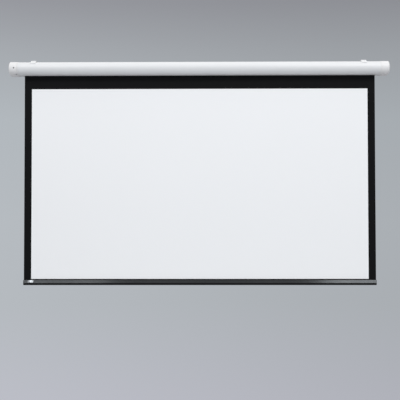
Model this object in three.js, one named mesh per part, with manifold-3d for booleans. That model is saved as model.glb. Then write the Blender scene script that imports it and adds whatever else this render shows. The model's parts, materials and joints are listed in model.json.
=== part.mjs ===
// Motorized projection screen for a wall or a ceiling, lowered, in millimetres.
// X runs to the viewer's right, Y into the wall and Z up. The origin is where the wall face and the
// ceiling face of the brackets meet, in line with the middle of the screen sheet.

import * as THREE from 'three';
import Module from 'manifold-3d';
import { mergeVertices } from 'three/addons/utils/BufferGeometryUtils.js';

const wasm = await Module();
wasm.setup();

// Driving dimensions
const viewWidth = 2336.8;
const viewHeight = 1320.8;
const sideBorder = 50.8;
const dropBelowCase = 92;
const bottomBorder = 7.5;
const caseHeight = 91;
const caseDepth = 98;
const wallGap = 10;
const ceilingGap = 10;
const motorEndRoom = 32;
const idleEndRoom = 25;
const barHeight = 35.3;
const barDepth = 16;
const leftBracketInset = 108;
const rightBracketInset = 115;

// Fits and cuts
const fitGap = 0.3;
const overrun = 5;

// Case extrusion
const caseWall = 2;
const backCorner = 5;
const slotWidth = 16;
const lipRadius = 2;
const portRadius = 4;
const portBore = 2;
const portOverlap = 1;
const railReach = 6;
const railDrop = 8;
const railThickness = 2;
const railSetback = 8;
const upperRailDepth = 14;
const lowerRailRise = 14;

// End caps
const capLength = 68;
const capOverlap = 4;
const capSkin = 1.2;
const capWall = 2.4;
const capDome = 14;
const capDomeInset = 30;
const capScrewY = 34;
const capScrewZ = 30;
const capColumnRadius = 6;
const capScrewSeat = 18;
const capScrewHead = 3.6;
const capScrewHeadHeight = 3;
const capScrewShank = 2;
const capScrewPast = 2;
const accessRadius = 4;

// End plates and their screws
const plateThickness = 2.5;
const plateInset = 1.5;
const plateScrewHead = 3.5;
const plateScrewHeadHeight = 2.2;
const plateScrewShank = 1.7;
const plateScrewReach = 16;

// Brackets, clamp jaws and bolts
const bracketWidth = 36;
const bracketPlate = 3;
const bracketBelowCase = 22;
const bracketBend = 5;
const noseStart = 8;
const noseFrom = THREE.MathUtils.degToRad(24);
const noseTo = THREE.MathUtils.degToRad(49);
const clawThickness = 2.5;
const clawStandOff = 0.9;
const jawPlate = 2.5;
const jawWidth = 24;
const jawDrop = 10;
const boltShank = 3;
const boltHead = 5;
const boltHeadHeight = 3.5;
const boltDrop = 12;
const boltPast = 0.5;
const mountHole = 3.25;
const wallHoleHigh = 22;
const wallHoleLow = 70;
const ceilingHoleNear = 18;
const ceilingHoleFar = 44;

// Roller and the wraps of sheet left on it
const sheetThickness = 0.4;
const wrapsLeft = 3;
const rollerRadius = 25.4;
const rollerWall = 1.5;
const rollerMargin = 6.8;
const spigotLength = 16;
const crownLength = 15;
const crownRun = 0.35;
const driveWheelLength = 22;
const driveScrewRadius = 2;
const driveScrewDepth = 10;
const idlePlugLength = 30;
const idleFlange = 2.7;
const idlePinRadius = 6;
const idlePinLength = 59;
const bearingRadius = 14;
const bearingWidth = 9;
const cupWall = 3.7;
const cupFloor = 2.7;
const cupFlange = 30;
const cupScrewZ = 25;

// Tubular motor
const motorRadius = 22.25;
const motorWall = 1;
const headLength = 40;
const headRadius = 26;
const headBore = 18.5;
const headFloor = 4;
const headFlange = 36;
const headFlangeThickness = 3;
const headSpigot = 12;
const headScrewZ = 31;
const smallScrewHead = 3;
const smallScrewHeadHeight = 2;
const smallScrewShank = 1.7;
const smallScrewReach = 8;
const limitFrontOut = 19.6;
const limitLowOut = 5.9;
const limitFrontTurn = Math.PI;
const limitLowTurn = Math.PI + THREE.MathUtils.degToRad(69);
const limitBoss = 5.5;
const limitBossTop = 35.5;
const limitShank = 2.5;
const limitShankFrom = 12.5;
const limitHead = 4;
const limitHeadFrom = 36;
const limitHeadTo = 41.5;
const limitSocket = 2;
const limitSocketDepth = 3;
const capacitorRadius = 17;
const capacitorFrom = 16;
const capacitorLength = 60;
const capacitorRim = 2;
const statorFrom = 90;
const statorLength = 120;
const statorBore = 11;
const statorWall = 10;
const rotorRadius = 10.5;
const rotorEndRoom = 14.7;
const rotorShaft = 4;
const rotorShaftRun = 0.35;
const rotorPast = 8;
const brakeLength = 38;
const brakeBore = 7;
const brakeWall = 5;
const brakeDisc = 6;
const gearboxLength = 240;
const gearboxRib = 3;
const gearboxRibs = 2;
const outputRadius = 6;
const outputSeat = 14;
const outputPast = 2;

// Wiring inside the motor end cap
const terminalLength = 18;
const terminalDepth = 13;
const terminalHeight = 40;
const terminalY = 43.5;
const terminalBlocks = 4;
const terminalNotch = 1.5;
const leadRadius = 3;
const leadZ = -9;
const leadY = 12;
const leadTurn = 6;
const leadSeat = 3;
const glandFromRim = 38;
const glandZ = 12;
const glandStub = 6;
const glandHead = 9;
const glandHeadLength = 7;
const glandInside = 5;
const glandBore = 3.5;
const glandNut = 8.5;
const glandNutThickness = 3.5;

// Bottom bar
const barWall = 1.6;
const barTopHalf = 3.6;
const barFootHalf = 2.5;
const barBelly = 20.5;
const barShoulder = 4;
const barShoulderHalf = 6.6;
const barKeel = 31;
const barKeelHalf = 7.4;
const channelRadius = 4.4;
const channelDepth = 9;
const barSlot = 2.2;
const hemRodRadius = 3;
const hemRodInset = 6;
const barPast = 0.5;
const barCapThickness = 2.5;
const barPlug = 12;
const badgeInset = 48.2;
const badgeWidth = 38;
const badgeThickness = 1;
const badgeFromShare = 0.16;
const badgeToShare = 0.86;

// Facets round a full turn
const fineFacets = 36;
const roundFacets = 24;
const smallFacets = 12;
const cornerFacets = 4;
const domeSteps = 4;
const channelFacets = 20;
const faceSteps = 8;
const leadFacets = 8;
const leadSteps = 24;
const hexFacets = 6;

// Worked out from the sizes above
const frontRadius = caseHeight / 2;
const backFace = caseDepth - frontRadius;
const axisY = -wallGap - backFace;
const axisZ = -ceilingGap - frontRadius;
const wallFace = backFace + wallGap;
const ceilingFace = frontRadius + ceilingGap;
const sheetWidth = viewWidth + 2 * sideBorder;
const rollRadius = rollerRadius + fitGap + wrapsLeft * sheetThickness;
const sheetFront = rollRadius + fitGap;
const sheetMiddle = sheetFront + sheetThickness / 2;
const rollerEnd = sheetWidth / 2 + rollerMargin;
const caseLeft = -rollerEnd - motorEndRoom;
const caseRight = rollerEnd + idleEndRoom;
const leftRim = caseLeft + capOverlap;
const rightRim = caseRight - capOverlap;
const plateLeftOuter = caseLeft - fitGap - plateThickness;
const plateRightOuter = caseRight + fitGap + plateThickness;
const viewTop = -frontRadius - dropBelowCase;
const viewBottom = viewTop - viewHeight;
const barTop = viewBottom - bottomBorder;
const slotFront = sheetMiddle - slotWidth / 2;
const slotBack = sheetMiddle + slotWidth / 2;
const portInset = caseWall + portRadius - portOverlap;
const capGrowth = fitGap + capSkin;
const rollerBore = rollerRadius - rollerWall;
const spigotRadius = rollerBore - fitGap;
const motorSeat = plateLeftOuter - fitGap;
const limitFrontX = motorSeat - limitFrontOut;
const limitLowX = motorSeat - limitLowOut;
const motorBore = motorRadius - motorWall;
const motorFit = motorBore - fitGap;
const brakeFrom = statorFrom + statorLength + fitGap;
const gearboxFrom = brakeFrom + brakeLength + fitGap;
const motorLength = gearboxFrom + gearboxLength + fitGap;
const barEnd = sheetWidth / 2 + barPast;

// Finishes
const finish = (color, roughness, metalness) =>
  new THREE.MeshStandardMaterial({ color, roughness, metalness });
const whitePaint = finish(0xf2f3f3, 0.42, 0.0);
const whitePlastic = finish(0xf0f0f1, 0.5, 0.0);
const zincSteel = finish(0xb9bcbe, 0.4, 0.9);
const bareSteel = finish(0x8f9396, 0.35, 1.0);
const castAluminium = finish(0xa9adb0, 0.5, 0.9);
const rawAluminium = finish(0xc4c8ca, 0.38, 1.0);
const blackPlastic = finish(0x1b1b1c, 0.55, 0.0);
const greyPlastic = finish(0x6a6e70, 0.55, 0.0);
const copperWinding = finish(0x9a5a35, 0.45, 0.8);
const darkPlastic = finish(0x262628, 0.5, 0.0);
const blackAnodised = finish(0x17181a, 0.3, 0.6);
const mattWhite = finish(0xf0f2f5, 0.95, 0.0);
const mattBlack = finish(0x101012, 0.9, 0.0);
const plainPlate = finish(0xd5d6d8, 0.35, 0.7);
const rubber = finish(0x202021, 0.8, 0.0);

// Closed solids, joined and cut

const crossSectionAxes = new THREE.Matrix4().makeBasis(
  new THREE.Vector3(0, 1, 0), new THREE.Vector3(0, 0, 1), new THREE.Vector3(1, 0, 0));
const turningAxes = new THREE.Matrix4().makeBasis(
  new THREE.Vector3(0, 0, 1), new THREE.Vector3(1, 0, 0), new THREE.Vector3(0, 1, 0));

function signedVolume(positions, corners) {
  const [a, b, c] = [new THREE.Vector3(), new THREE.Vector3(), new THREE.Vector3()];
  let volume = 0;
  for (let i = 0; i < corners.length; i += 3) {
    a.fromArray(positions, corners[i] * 3);
    b.fromArray(positions, corners[i + 1] * 3);
    c.fromArray(positions, corners[i + 2] * 3);
    volume += a.dot(b.cross(c));
  }
  return volume;
}

function outwardGeometry(source) {
  const plain = source.clone();
  plain.deleteAttribute('normal');
  plain.deleteAttribute('uv');
  const merged = mergeVertices(plain);
  const corners = merged.getIndex().array;
  const kept = [];
  for (let i = 0; i < corners.length; i += 3) {
    const [p, q, r] = [corners[i], corners[i + 1], corners[i + 2]];
    if (p !== q && q !== r && r !== p) kept.push(p, q, r);
  }
  if (signedVolume(merged.getAttribute('position').array, kept) < 0) kept.reverse();
  merged.setIndex(kept);
  return merged;
}

function toSolid(geometry) {
  return new wasm.Manifold(new wasm.Mesh({
    numProp: 3,
    vertProperties: new Float32Array(geometry.getAttribute('position').array),
    triVerts: new Uint32Array(geometry.getIndex().array),
  }));
}

function toGeometry(solid) {
  const mesh = solid.getMesh();
  const geometry = new THREE.BufferGeometry();
  geometry.setAttribute('position', new THREE.BufferAttribute(mesh.vertProperties, 3));
  geometry.setIndex(new THREE.BufferAttribute(mesh.triVerts, 1));
  return geometry;
}

function join(first, ...others) {
  return toGeometry(others.reduce((solid, other) => solid.add(toSolid(other)), toSolid(first)));
}

function cut(first, ...tools) {
  return toGeometry(tools.reduce((solid, tool) => solid.subtract(toSolid(tool)), toSolid(first)));
}

function common(first, other) {
  return toGeometry(toSolid(first).intersect(toSolid(other)));
}

// Outlines are drawn as seen from the right-hand end: across is Y, up is Z

const at = (y, z) => new THREE.Vector2(y, z);

function arc(y, z, radius, from, to, facets) {
  const steps = Math.max(2, Math.round(facets * Math.abs(to - from) / (2 * Math.PI)));
  return Array.from({ length: steps + 1 }, (_, i) => {
    const angle = from + (to - from) * i / steps;
    return at(y + radius * Math.cos(angle), z + radius * Math.sin(angle));
  });
}

const ring = (y, z, radius, facets = roundFacets) =>
  arc(y, z, radius, 0, 2 * Math.PI, facets).slice(0, -1);

const rectangle = (y0, y1, z0, z1) => [at(y0, z0), at(y1, z0), at(y1, z1), at(y0, z1)];

// Moves each point of an outline sideways, to the right of its direction of travel
function shifted(points, distance, closed = false) {
  const count = points.length;
  return points.map((point, i) => {
    const before = closed ? points[(i + count - 1) % count] : points[Math.max(i - 1, 0)];
    const after = closed ? points[(i + 1) % count] : points[Math.min(i + 1, count - 1)];
    const arriving = point.clone().sub(before).normalize();
    const leaving = after.clone().sub(point).normalize();
    if (arriving.length() === 0) arriving.copy(leaving);
    if (leaving.length() === 0) leaving.copy(arriving);
    const along = arriving.clone().add(leaving).normalize();
    const reach = distance / along.dot(leaving);
    return at(point.x + along.y * reach, point.y - along.x * reach);
  });
}

const ribbon = (points, thickness) =>
  [...shifted(points, thickness / 2), ...shifted(points, -thickness / 2).reverse()];

function prism(outline, x0, x1, holes = []) {
  const shape = new THREE.Shape(outline);
  shape.holes = holes.map((hole) => new THREE.Path(hole));
  const geometry = new THREE.ExtrudeGeometry(shape, { depth: x1 - x0, bevelEnabled: false });
  geometry.applyMatrix4(crossSectionAxes);
  geometry.translate(x0, 0, 0);
  return outwardGeometry(geometry);
}

const box = (x0, x1, y0, y1, z0, z1) => prism(rectangle(y0, y1, z0, z1), x0, x1);

// A body turned about X: the profile's points are distance along and radius
function turned(profile, facets = roundFacets) {
  const points = profile.map(([along, radius]) => new THREE.Vector2(radius, along));
  const geometry = new THREE.LatheGeometry([...points, points[0]], facets);
  geometry.applyMatrix4(turningAxes);
  return outwardGeometry(geometry);
}

const rod = (x0, x1, radius, facets) => turned([[x0, 0], [x0, radius], [x1, radius], [x1, 0]], facets);

const pipe = (x0, x1, inner, outer, facets) =>
  turned([[x0, inner], [x0, outer], [x1, outer], [x1, inner]], facets);

function moved(geometry, x, y, z) {
  return geometry.clone().translate(x, y, z);
}

// Turns a body from lying along X to pointing away from the X axis at an angle from +Y
function pointing(geometry, angle) {
  return geometry.clone().rotateZ(Math.PI / 2).rotateX(angle);
}

// A screw along X, its head's seat at zero, its shank towards +X
function screw(head, headHeight, shank, reach) {
  const driveRadius = shank;
  const driveDepth = headHeight / 2;
  const body = turned([
    [-headHeight, 0], [-headHeight, head], [0, head], [0, shank], [reach, shank], [reach, 0],
  ], smallFacets);
  return cut(body, rod(-headHeight - overrun, -headHeight + driveDepth, driveRadius, hexFacets));
}

const mirrored = (geometry) => outwardGeometry(geometry.clone().scale(-1, 1, 1));

// Scene graph: the roller's axis is the middle of all the case work

const projectionScreen = new THREE.Group();
const caseWork = new THREE.Group();
caseWork.position.set(0, axisY, axisZ);
projectionScreen.add(caseWork);

function addPiece(parent, name, geometry, material, x = 0, y = 0, z = 0) {
  const mesh = new THREE.Mesh(geometry, material.clone());
  mesh.name = name;
  mesh.position.set(x, y, z);
  parent.add(mesh);
}

// Half-moon outline: a round front about the roller's axis and a flat back, top and underside
function halfMoon(growth) {
  const radius = frontRadius + growth;
  const back = backFace + growth;
  const corner = backCorner + growth;
  return [
    ...arc(back - corner, -radius + corner, corner, -Math.PI / 2, 0, roundFacets),
    ...arc(back - corner, radius - corner, corner, 0, Math.PI / 2, roundFacets),
    ...arc(0, 0, radius, Math.PI / 2, 3 * Math.PI / 2, fineFacets),
  ];
}

const screwPorts = [
  at(backFace - portInset, frontRadius - portInset),
  at(backFace - portInset, -frontRadius + portInset),
  at(-frontRadius + portInset, 0),
];

// A rail along the back of the case, its lip hanging down
function backRail(top) {
  const outline = [
    at(backFace - caseWall / 2, top), at(backFace + railReach, top),
    at(backFace + railReach, top - railDrop), at(backFace + railReach - railThickness, top - railDrop),
    at(backFace + railReach - railThickness, top - railThickness),
    at(backFace - caseWall / 2, top - railThickness),
  ];
  return prism(outline, caseLeft + railSetback, caseRight - railSetback);
}

const upperRailTop = frontRadius - upperRailDepth;
const lowerRailTop = -frontRadius + lowerRailRise;

function addCase() {
  const tube = prism(halfMoon(0), caseLeft, caseRight, [halfMoon(-caseWall)]);
  const slot = box(caseLeft - overrun, caseRight + overrun, slotFront, slotBack,
    -frontRadius - overrun, -frontRadius + caseWall + overrun);
  const lips = [slotFront, slotBack].map((edge) =>
    prism(ring(edge, -frontRadius + lipRadius, lipRadius, smallFacets), caseLeft, caseRight));
  const posts = screwPorts.map((port) =>
    prism(ring(port.x, port.y, portRadius, smallFacets), caseLeft, caseRight));
  const bores = screwPorts.map((port) =>
    prism(ring(port.x, port.y, portBore, smallFacets), caseLeft - overrun, caseRight + overrun));
  const shell = join(cut(tube, slot), ...lips, ...posts, backRail(upperRailTop), backRail(lowerRailTop));
  addPiece(caseWork, 'case_shell', cut(shell, ...bores), whitePaint);
}

// A closed end with a domed face: the outline runs from the open end at zero to a face at -length
function domedEnd(growth, length, dome, inset, steps) {
  const outline = halfMoon(growth);
  const middle = at((backFace - frontRadius) / 2, 0);
  const rings = [{ x: 0, scale: 1 }];
  for (let i = 0; i <= steps; i++) {
    const angle = Math.PI / 2 * i / steps;
    const scale = 1 - inset / frontRadius * (1 - Math.cos(angle));
    rings.push({ x: -length + dome - dome * Math.sin(angle), scale });
  }
  const positions = [];
  for (const { x, scale } of rings) {
    for (const point of outline) {
      const placed = point.clone().sub(middle).multiplyScalar(scale).add(middle);
      positions.push(x, placed.x, placed.y);
    }
  }
  const count = outline.length;
  const corners = [];
  for (let k = 0; k + 1 < rings.length; k++) {
    for (let i = 0; i < count; i++) {
      const next = (i + 1) % count;
      const [a, b, c, d] = [k * count + i, k * count + next, (k + 1) * count + next, (k + 1) * count + i];
      corners.push(a, b, c, a, c, d);
    }
  }
  const last = (rings.length - 1) * count;
  for (const [p, q, r] of THREE.ShapeUtils.triangulateShape(outline, [])) {
    corners.push(r, q, p, last + p, last + q, last + r);
  }
  const geometry = new THREE.BufferGeometry();
  geometry.setAttribute('position', new THREE.Float32BufferAttribute(positions, 3));
  geometry.setIndex(corners);
  return outwardGeometry(geometry);
}

// One end cap, open towards +X at its rim, with a column for each of its two screws
function endCap() {
  const shoulder = -capOverlap - fitGap;
  const hollowLength = capLength - capWall;
  const outside = domedEnd(capGrowth, capLength, capDome, capDomeInset, domeSteps);
  const inside = domedEnd(capGrowth - capWall - fitGap, hollowLength, capDome, capDomeInset, domeSteps / 2);
  const socket = prism(halfMoon(fitGap), shoulder, overrun);
  const columnEnd = -capOverlap - plateThickness - 2 * fitGap;
  const columns = [-capScrewZ, capScrewZ].map((z) =>
    moved(rod(-capLength, columnEnd, capColumnRadius, smallFacets), 0, capScrewY, z));
  const wells = [-capScrewZ, capScrewZ].map((z) => join(
    moved(rod(-capLength - overrun, -capLength + capScrewSeat, capScrewHead + fitGap, smallFacets),
      0, capScrewY, z),
    moved(rod(-capLength, overrun, capScrewShank + fitGap, smallFacets), 0, capScrewY, z)));
  const shell = cut(outside, inside, socket);
  const filled = join(shell, ...columns.map((column) => common(column, outside)));
  return cut(filled, ...wells);
}

function addEndCaps() {
  const cap = endCap();
  const access = [[limitFrontX, limitFrontTurn], [limitLowX, limitLowTurn]].map(([x, turn]) =>
    moved(pointing(rod(limitHeadFrom, frontRadius + capGrowth + overrun, accessRadius), turn),
      x - leftRim, 0, 0));
  const glandHole = moved(pointing(
    rod(backFace - overrun, backFace + overrun, glandStub + fitGap), 0), -glandFromRim, 0, glandZ);
  addPiece(caseWork, 'left_end_cap', cut(cap, ...access, glandHole), whitePlastic, leftRim);
  addPiece(caseWork, 'right_end_cap', mirrored(cap), whitePlastic, rightRim);

  const reach = capLength - capScrewSeat - capOverlap + capScrewPast;
  const capScrew = screw(capScrewHead, capScrewHeadHeight, capScrewShank, reach);
  for (const [level, z] of [['upper', capScrewZ], ['lower', -capScrewZ]]) {
    addPiece(caseWork, `left_cap_screw_${level}`, capScrew, zincSteel,
      leftRim - capLength + capScrewSeat - fitGap, capScrewY, z);
    addPiece(caseWork, `right_cap_screw_${level}`, mirrored(capScrew), zincSteel,
      rightRim + capLength - capScrewSeat + fitGap, capScrewY, z);
  }
}

// A plate that closes one end of the extrusion, its outer face at zero and its inner face towards +X
function endPlate(centreBore, centreScrewZ) {
  const plate = prism(halfMoon(-plateInset), 0, plateThickness);
  const hole = (y, z, radius) =>
    moved(rod(-overrun, plateThickness + overrun, radius, smallFacets), 0, y, z);
  return cut(plate,
    rod(-overrun, plateThickness + overrun, centreBore),
    ...screwPorts.map((port) => hole(port.x, port.y, plateScrewShank + fitGap)),
    ...[-capScrewZ, capScrewZ].map((z) => hole(capScrewY, z, capScrewShank + fitGap)),
    ...[-centreScrewZ, centreScrewZ].map((z) => hole(0, z, smallScrewShank + fitGap)));
}

function addEndPlates() {
  const motorPlate = endPlate(motorRadius + 2 * fitGap, headScrewZ);
  const idlePlate = endPlate(idlePinRadius + 2 * fitGap, cupScrewZ);
  addPiece(caseWork, 'left_end_plate', motorPlate, zincSteel, plateLeftOuter);
  addPiece(caseWork, 'right_end_plate', mirrored(idlePlate), zincSteel, plateRightOuter);
  const plateScrew = screw(plateScrewHead, plateScrewHeadHeight, plateScrewShank, plateScrewReach);
  ['top', 'bottom', 'front'].forEach((place, i) => {
    const port = screwPorts[i];
    addPiece(caseWork, `left_plate_screw_${place}`, plateScrew, zincSteel,
      plateLeftOuter - fitGap, port.x, port.y);
    addPiece(caseWork, `right_plate_screw_${place}`, mirrored(plateScrew), zincSteel,
      plateRightOuter + fitGap, port.x, port.y);
  });
}

// A hook that reaches in behind a rail's lip and turns up there, from a plate whose front is at plateY
function claw(railTop, plateY, width) {
  const floor = railTop - railDrop - fitGap;
  const tipFront = backFace + clawStandOff;
  const outline = [
    at(plateY + clawThickness / 2, floor - clawThickness), at(plateY + clawThickness / 2, floor),
    at(tipFront + clawThickness, floor), at(tipFront + clawThickness, railTop - railThickness - fitGap),
    at(tipFront, railTop - railThickness - fitGap), at(tipFront, floor - clawThickness),
  ];
  return prism(outline, -width / 2, width / 2);
}

// A bracket is one bent plate: a wall leg, a ceiling leg and a nose that follows the case's round top
function bracket() {
  const half = bracketPlate / 2;
  const hug = frontRadius + fitGap + half;
  const onFront = (angle) => at(-hug * Math.sin(angle), hug * Math.cos(angle));
  const nose = Array.from({ length: cornerFacets + 1 }, (_, i) =>
    onFront(noseFrom + (noseTo - noseFrom) * i / cornerFacets));
  const bend = bracketBend;
  const shoulder = new THREE.QuadraticBezierCurve(
    at(bend - noseStart, ceilingFace - half), at(-noseStart - half, ceilingFace - half), nose[0]);
  const middleLine = [
    at(wallFace - half, -frontRadius - bracketBelowCase),
    ...arc(wallFace - half - bend, ceilingFace - half - bend, bend, 0, Math.PI / 2, smallFacets),
    ...shoulder.getPoints(cornerFacets), ...nose.slice(1),
  ];
  const plate = prism(ribbon(middleLine, bracketPlate), -bracketWidth / 2, bracketWidth / 2);
  const hook = claw(upperRailTop, wallFace - bracketPlate, bracketWidth);
  const wallHoles = [wallHoleHigh, wallHoleLow].map((depth) => moved(
    pointing(rod(wallFace - bracketPlate - overrun, wallFace + overrun, mountHole, smallFacets), 0),
    0, 0, ceilingFace - depth));
  const ceilingHoles = [ceilingHoleNear, ceilingHoleFar].map((depth) => moved(
    pointing(rod(ceilingFace - bracketPlate - overrun, ceilingFace + overrun, mountHole, smallFacets),
      Math.PI / 2), 0, wallFace - depth, 0));
  const boltHole = moved(
    pointing(rod(wallFace - bracketPlate - overrun, wallFace + overrun, boltShank + fitGap, smallFacets),
      0), 0, 0, -frontRadius - boltDrop);
  return cut(join(plate, hook), ...wallHoles, ...ceilingHoles, boltHole);
}

// A clamp jaw lies on the front of the wall leg, and its hook holds the case's lower rail
function clampJaw() {
  const back = wallFace - bracketPlate - fitGap;
  const front = back - jawPlate;
  const top = lowerRailTop - railDrop - fitGap - clawThickness;
  const foot = -frontRadius - boltDrop - jawDrop;
  const slab = box(-jawWidth / 2, jawWidth / 2, front, back, foot, top + clawThickness / 2);
  const hook = claw(lowerRailTop, front + jawPlate / 2, jawWidth);
  const boltHole = moved(
    pointing(rod(front - overrun, back + overrun, boltShank + fitGap, smallFacets), 0),
    0, 0, -frontRadius - boltDrop);
  return cut(join(slab, hook), boltHole);
}

function addBrackets() {
  const bracketShape = bracket();
  const jaw = clampJaw();
  const boltReach = jawPlate + bracketPlate + 2 * fitGap - boltPast;
  const bolt = pointing(screw(boltHead, boltHeadHeight, boltShank, boltReach), 0);
  const boltSeat = wallFace - bracketPlate - jawPlate - 2 * fitGap;
  for (const [side, x] of [['left', caseLeft + leftBracketInset], ['right', caseRight - rightBracketInset]]) {
    addPiece(caseWork, `${side}_bracket`, bracketShape, whitePaint, x);
    addPiece(caseWork, `${side}_clamp_jaw`, jaw, zincSteel, x);
    addPiece(caseWork, `${side}_clamp_bolt`, bolt, zincSteel, x, boltSeat, -frontRadius - boltDrop);
  }
}

// Roller and what turns with it
function addRoller() {
  const wheelFrom = motorSeat + motorLength + fitGap;
  const wheelMiddle = wheelFrom + driveWheelLength / 2;
  const driveHole = moved(
    pointing(rod(rollerBore - driveScrewDepth - fitGap, rollerRadius + overrun,
      driveScrewRadius + fitGap, smallFacets), Math.PI / 2), wheelMiddle, 0, 0);

  const tube = cut(pipe(-rollerEnd, rollerEnd, rollerBore, rollerRadius, fineFacets), driveHole);
  addPiece(caseWork, 'roller_tube', tube, rawAluminium);

  const crown = turned([
    [-crownLength, motorRadius + crownRun], [-crownLength, rollerRadius], [-fitGap, rollerRadius],
    [-fitGap, spigotRadius], [spigotLength, spigotRadius], [spigotLength, motorRadius + crownRun],
  ], fineFacets);
  addPiece(caseWork, 'crown_ring', crown, blackPlastic, -rollerEnd);

  const wheelTo = wheelFrom + driveWheelLength;
  const wheel = pipe(wheelFrom, wheelTo, outputRadius + fitGap, spigotRadius, fineFacets);
  addPiece(caseWork, 'drive_wheel', cut(wheel, driveHole), blackPlastic);
  const wheelScrew = pointing(
    rod(rollerBore - driveScrewDepth, rollerRadius - fitGap, driveScrewRadius, smallFacets), Math.PI / 2);
  addPiece(caseWork, 'drive_wheel_screw', wheelScrew, zincSteel, wheelMiddle);
  const shaft = rod(motorSeat + motorLength - outputSeat, wheelTo + outputPast, outputRadius, smallFacets);
  addPiece(caseWork, 'output_shaft', shaft, bareSteel);

  const plug = turned([
    [-idlePlugLength, idlePinRadius + fitGap], [-idlePlugLength, spigotRadius], [fitGap, spigotRadius],
    [fitGap, rollerRadius], [fitGap + idleFlange, rollerRadius],
    [fitGap + idleFlange, idlePinRadius + fitGap],
  ], fineFacets);
  addPiece(caseWork, 'idle_plug', plug, blackPlastic, rollerEnd);
  const pinEnd = caseRight - fitGap;
  addPiece(caseWork, 'idle_pin', rod(pinEnd - idlePinLength, pinEnd, idlePinRadius, smallFacets), bareSteel);

  const wraps = pipe(-sheetWidth / 2, sheetWidth / 2, rollerRadius + fitGap, rollRadius, fineFacets);
  addPiece(caseWork, 'fabric_roll', wraps, mattBlack);
}

function addIdleEnd() {
  const cupBack = caseRight;
  const bearingEnd = cupBack - cupFloor - fitGap;
  const pinBore = idlePinRadius + 2 * fitGap;
  const cup = turned([
    [cupBack - cupFloor - bearingWidth - fitGap, bearingRadius + fitGap],
    [cupBack - cupFloor - bearingWidth - fitGap, bearingRadius + fitGap + cupWall],
    [cupBack - cupFloor, bearingRadius + fitGap + cupWall], [cupBack - cupFloor, cupFlange],
    [cupBack, cupFlange], [cupBack, pinBore], [cupBack - cupFloor, pinBore],
    [cupBack - cupFloor, bearingRadius + fitGap],
  ]);
  const screwHoles = [-cupScrewZ, cupScrewZ].map((z) => moved(
    rod(cupBack - cupFloor - overrun, cupBack + overrun, smallScrewShank + fitGap, smallFacets), 0, 0, z));
  addPiece(caseWork, 'bearing_cup', cut(cup, ...screwHoles), castAluminium);
  const bearing = pipe(bearingEnd - bearingWidth, bearingEnd, idlePinRadius + fitGap, bearingRadius);
  addPiece(caseWork, 'idle_bearing', bearing, bareSteel);
  const cupScrew = mirrored(screw(smallScrewHead, smallScrewHeadHeight, smallScrewShank, smallScrewReach));
  for (const [level, z] of [['upper', cupScrewZ], ['lower', -cupScrewZ]]) {
    addPiece(caseWork, `bearing_cup_screw_${level}`, cupScrew, zincSteel, plateRightOuter + fitGap, 0, z);
  }
}

// Tubular motor: zero is the seat of its head's flange on the left end plate
const motor = new THREE.Group();
motor.position.x = motorSeat;
caseWork.add(motor);

const limitScrewPlaces = [
  ['limit_screw_front', limitFrontX - motorSeat, limitFrontTurn],
  ['limit_screw_low', limitLowX - motorSeat, limitLowTurn],
];

function addMotorHead() {
  const head = turned([
    [-headLength, 0], [-headLength, headRadius], [-headFlangeThickness, headRadius],
    [-headFlangeThickness, headFlange], [0, headFlange], [0, motorFit], [headSpigot, motorFit],
    [headSpigot, headBore], [-headLength + headFloor, headBore], [-headLength + headFloor, 0],
  ]);
  const bosses = limitScrewPlaces.map(([, x, turn]) =>
    moved(pointing(rod(headBore + fitGap, limitBossTop, limitBoss, smallFacets), turn), x, 0, 0));
  const bores = limitScrewPlaces.map(([, x, turn]) => moved(
    pointing(rod(headBore / 2, limitBossTop + overrun, limitShank + fitGap, smallFacets), turn), x, 0, 0));
  const leadBore = moved(
    rod(-headLength - overrun, -headLength + leadSeat + fitGap, leadRadius + fitGap, smallFacets),
    0, leadY, leadZ);
  const screwHoles = [-headScrewZ, headScrewZ].map((z) => moved(
    rod(-headFlangeThickness - overrun, overrun, smallScrewShank + fitGap, smallFacets), 0, 0, z));
  addPiece(motor, 'motor_head', cut(join(head, ...bosses), ...bores, leadBore, ...screwHoles), greyPlastic);

  const headScrew = screw(smallScrewHead, smallScrewHeadHeight, smallScrewShank, smallScrewReach);
  for (const [level, z] of [['upper', headScrewZ], ['lower', -headScrewZ]]) {
    addPiece(motor, `motor_head_screw_${level}`, headScrew, zincSteel,
      -headFlangeThickness - fitGap, 0, z);
  }

  const unitFrom = -headLength + headFloor + fitGap;
  const unit = rod(unitFrom, headSpigot - fitGap, headBore - fitGap);
  const tips = limitScrewPlaces.map(([, x, turn]) => moved(
    pointing(rod(limitShankFrom - fitGap, headBore + overrun, limitShank + fitGap, smallFacets), turn),
    x, 0, 0));
  addPiece(motor, 'limit_switch_unit', cut(unit, ...tips), blackPlastic);

  const limitScrew = cut(
    turned([
      [limitShankFrom, 0], [limitShankFrom, limitShank], [limitHeadFrom, limitShank],
      [limitHeadFrom, limitHead - fitGap], [limitHeadTo, limitHead - fitGap], [limitHeadTo, 0],
    ], smallFacets),
    rod(limitHeadTo - limitSocketDepth, limitHeadTo + overrun, limitSocket, hexFacets));
  for (const [name, x, turn] of limitScrewPlaces) {
    addPiece(motor, name, pointing(limitScrew, turn), darkPlastic, x);
  }
}

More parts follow.
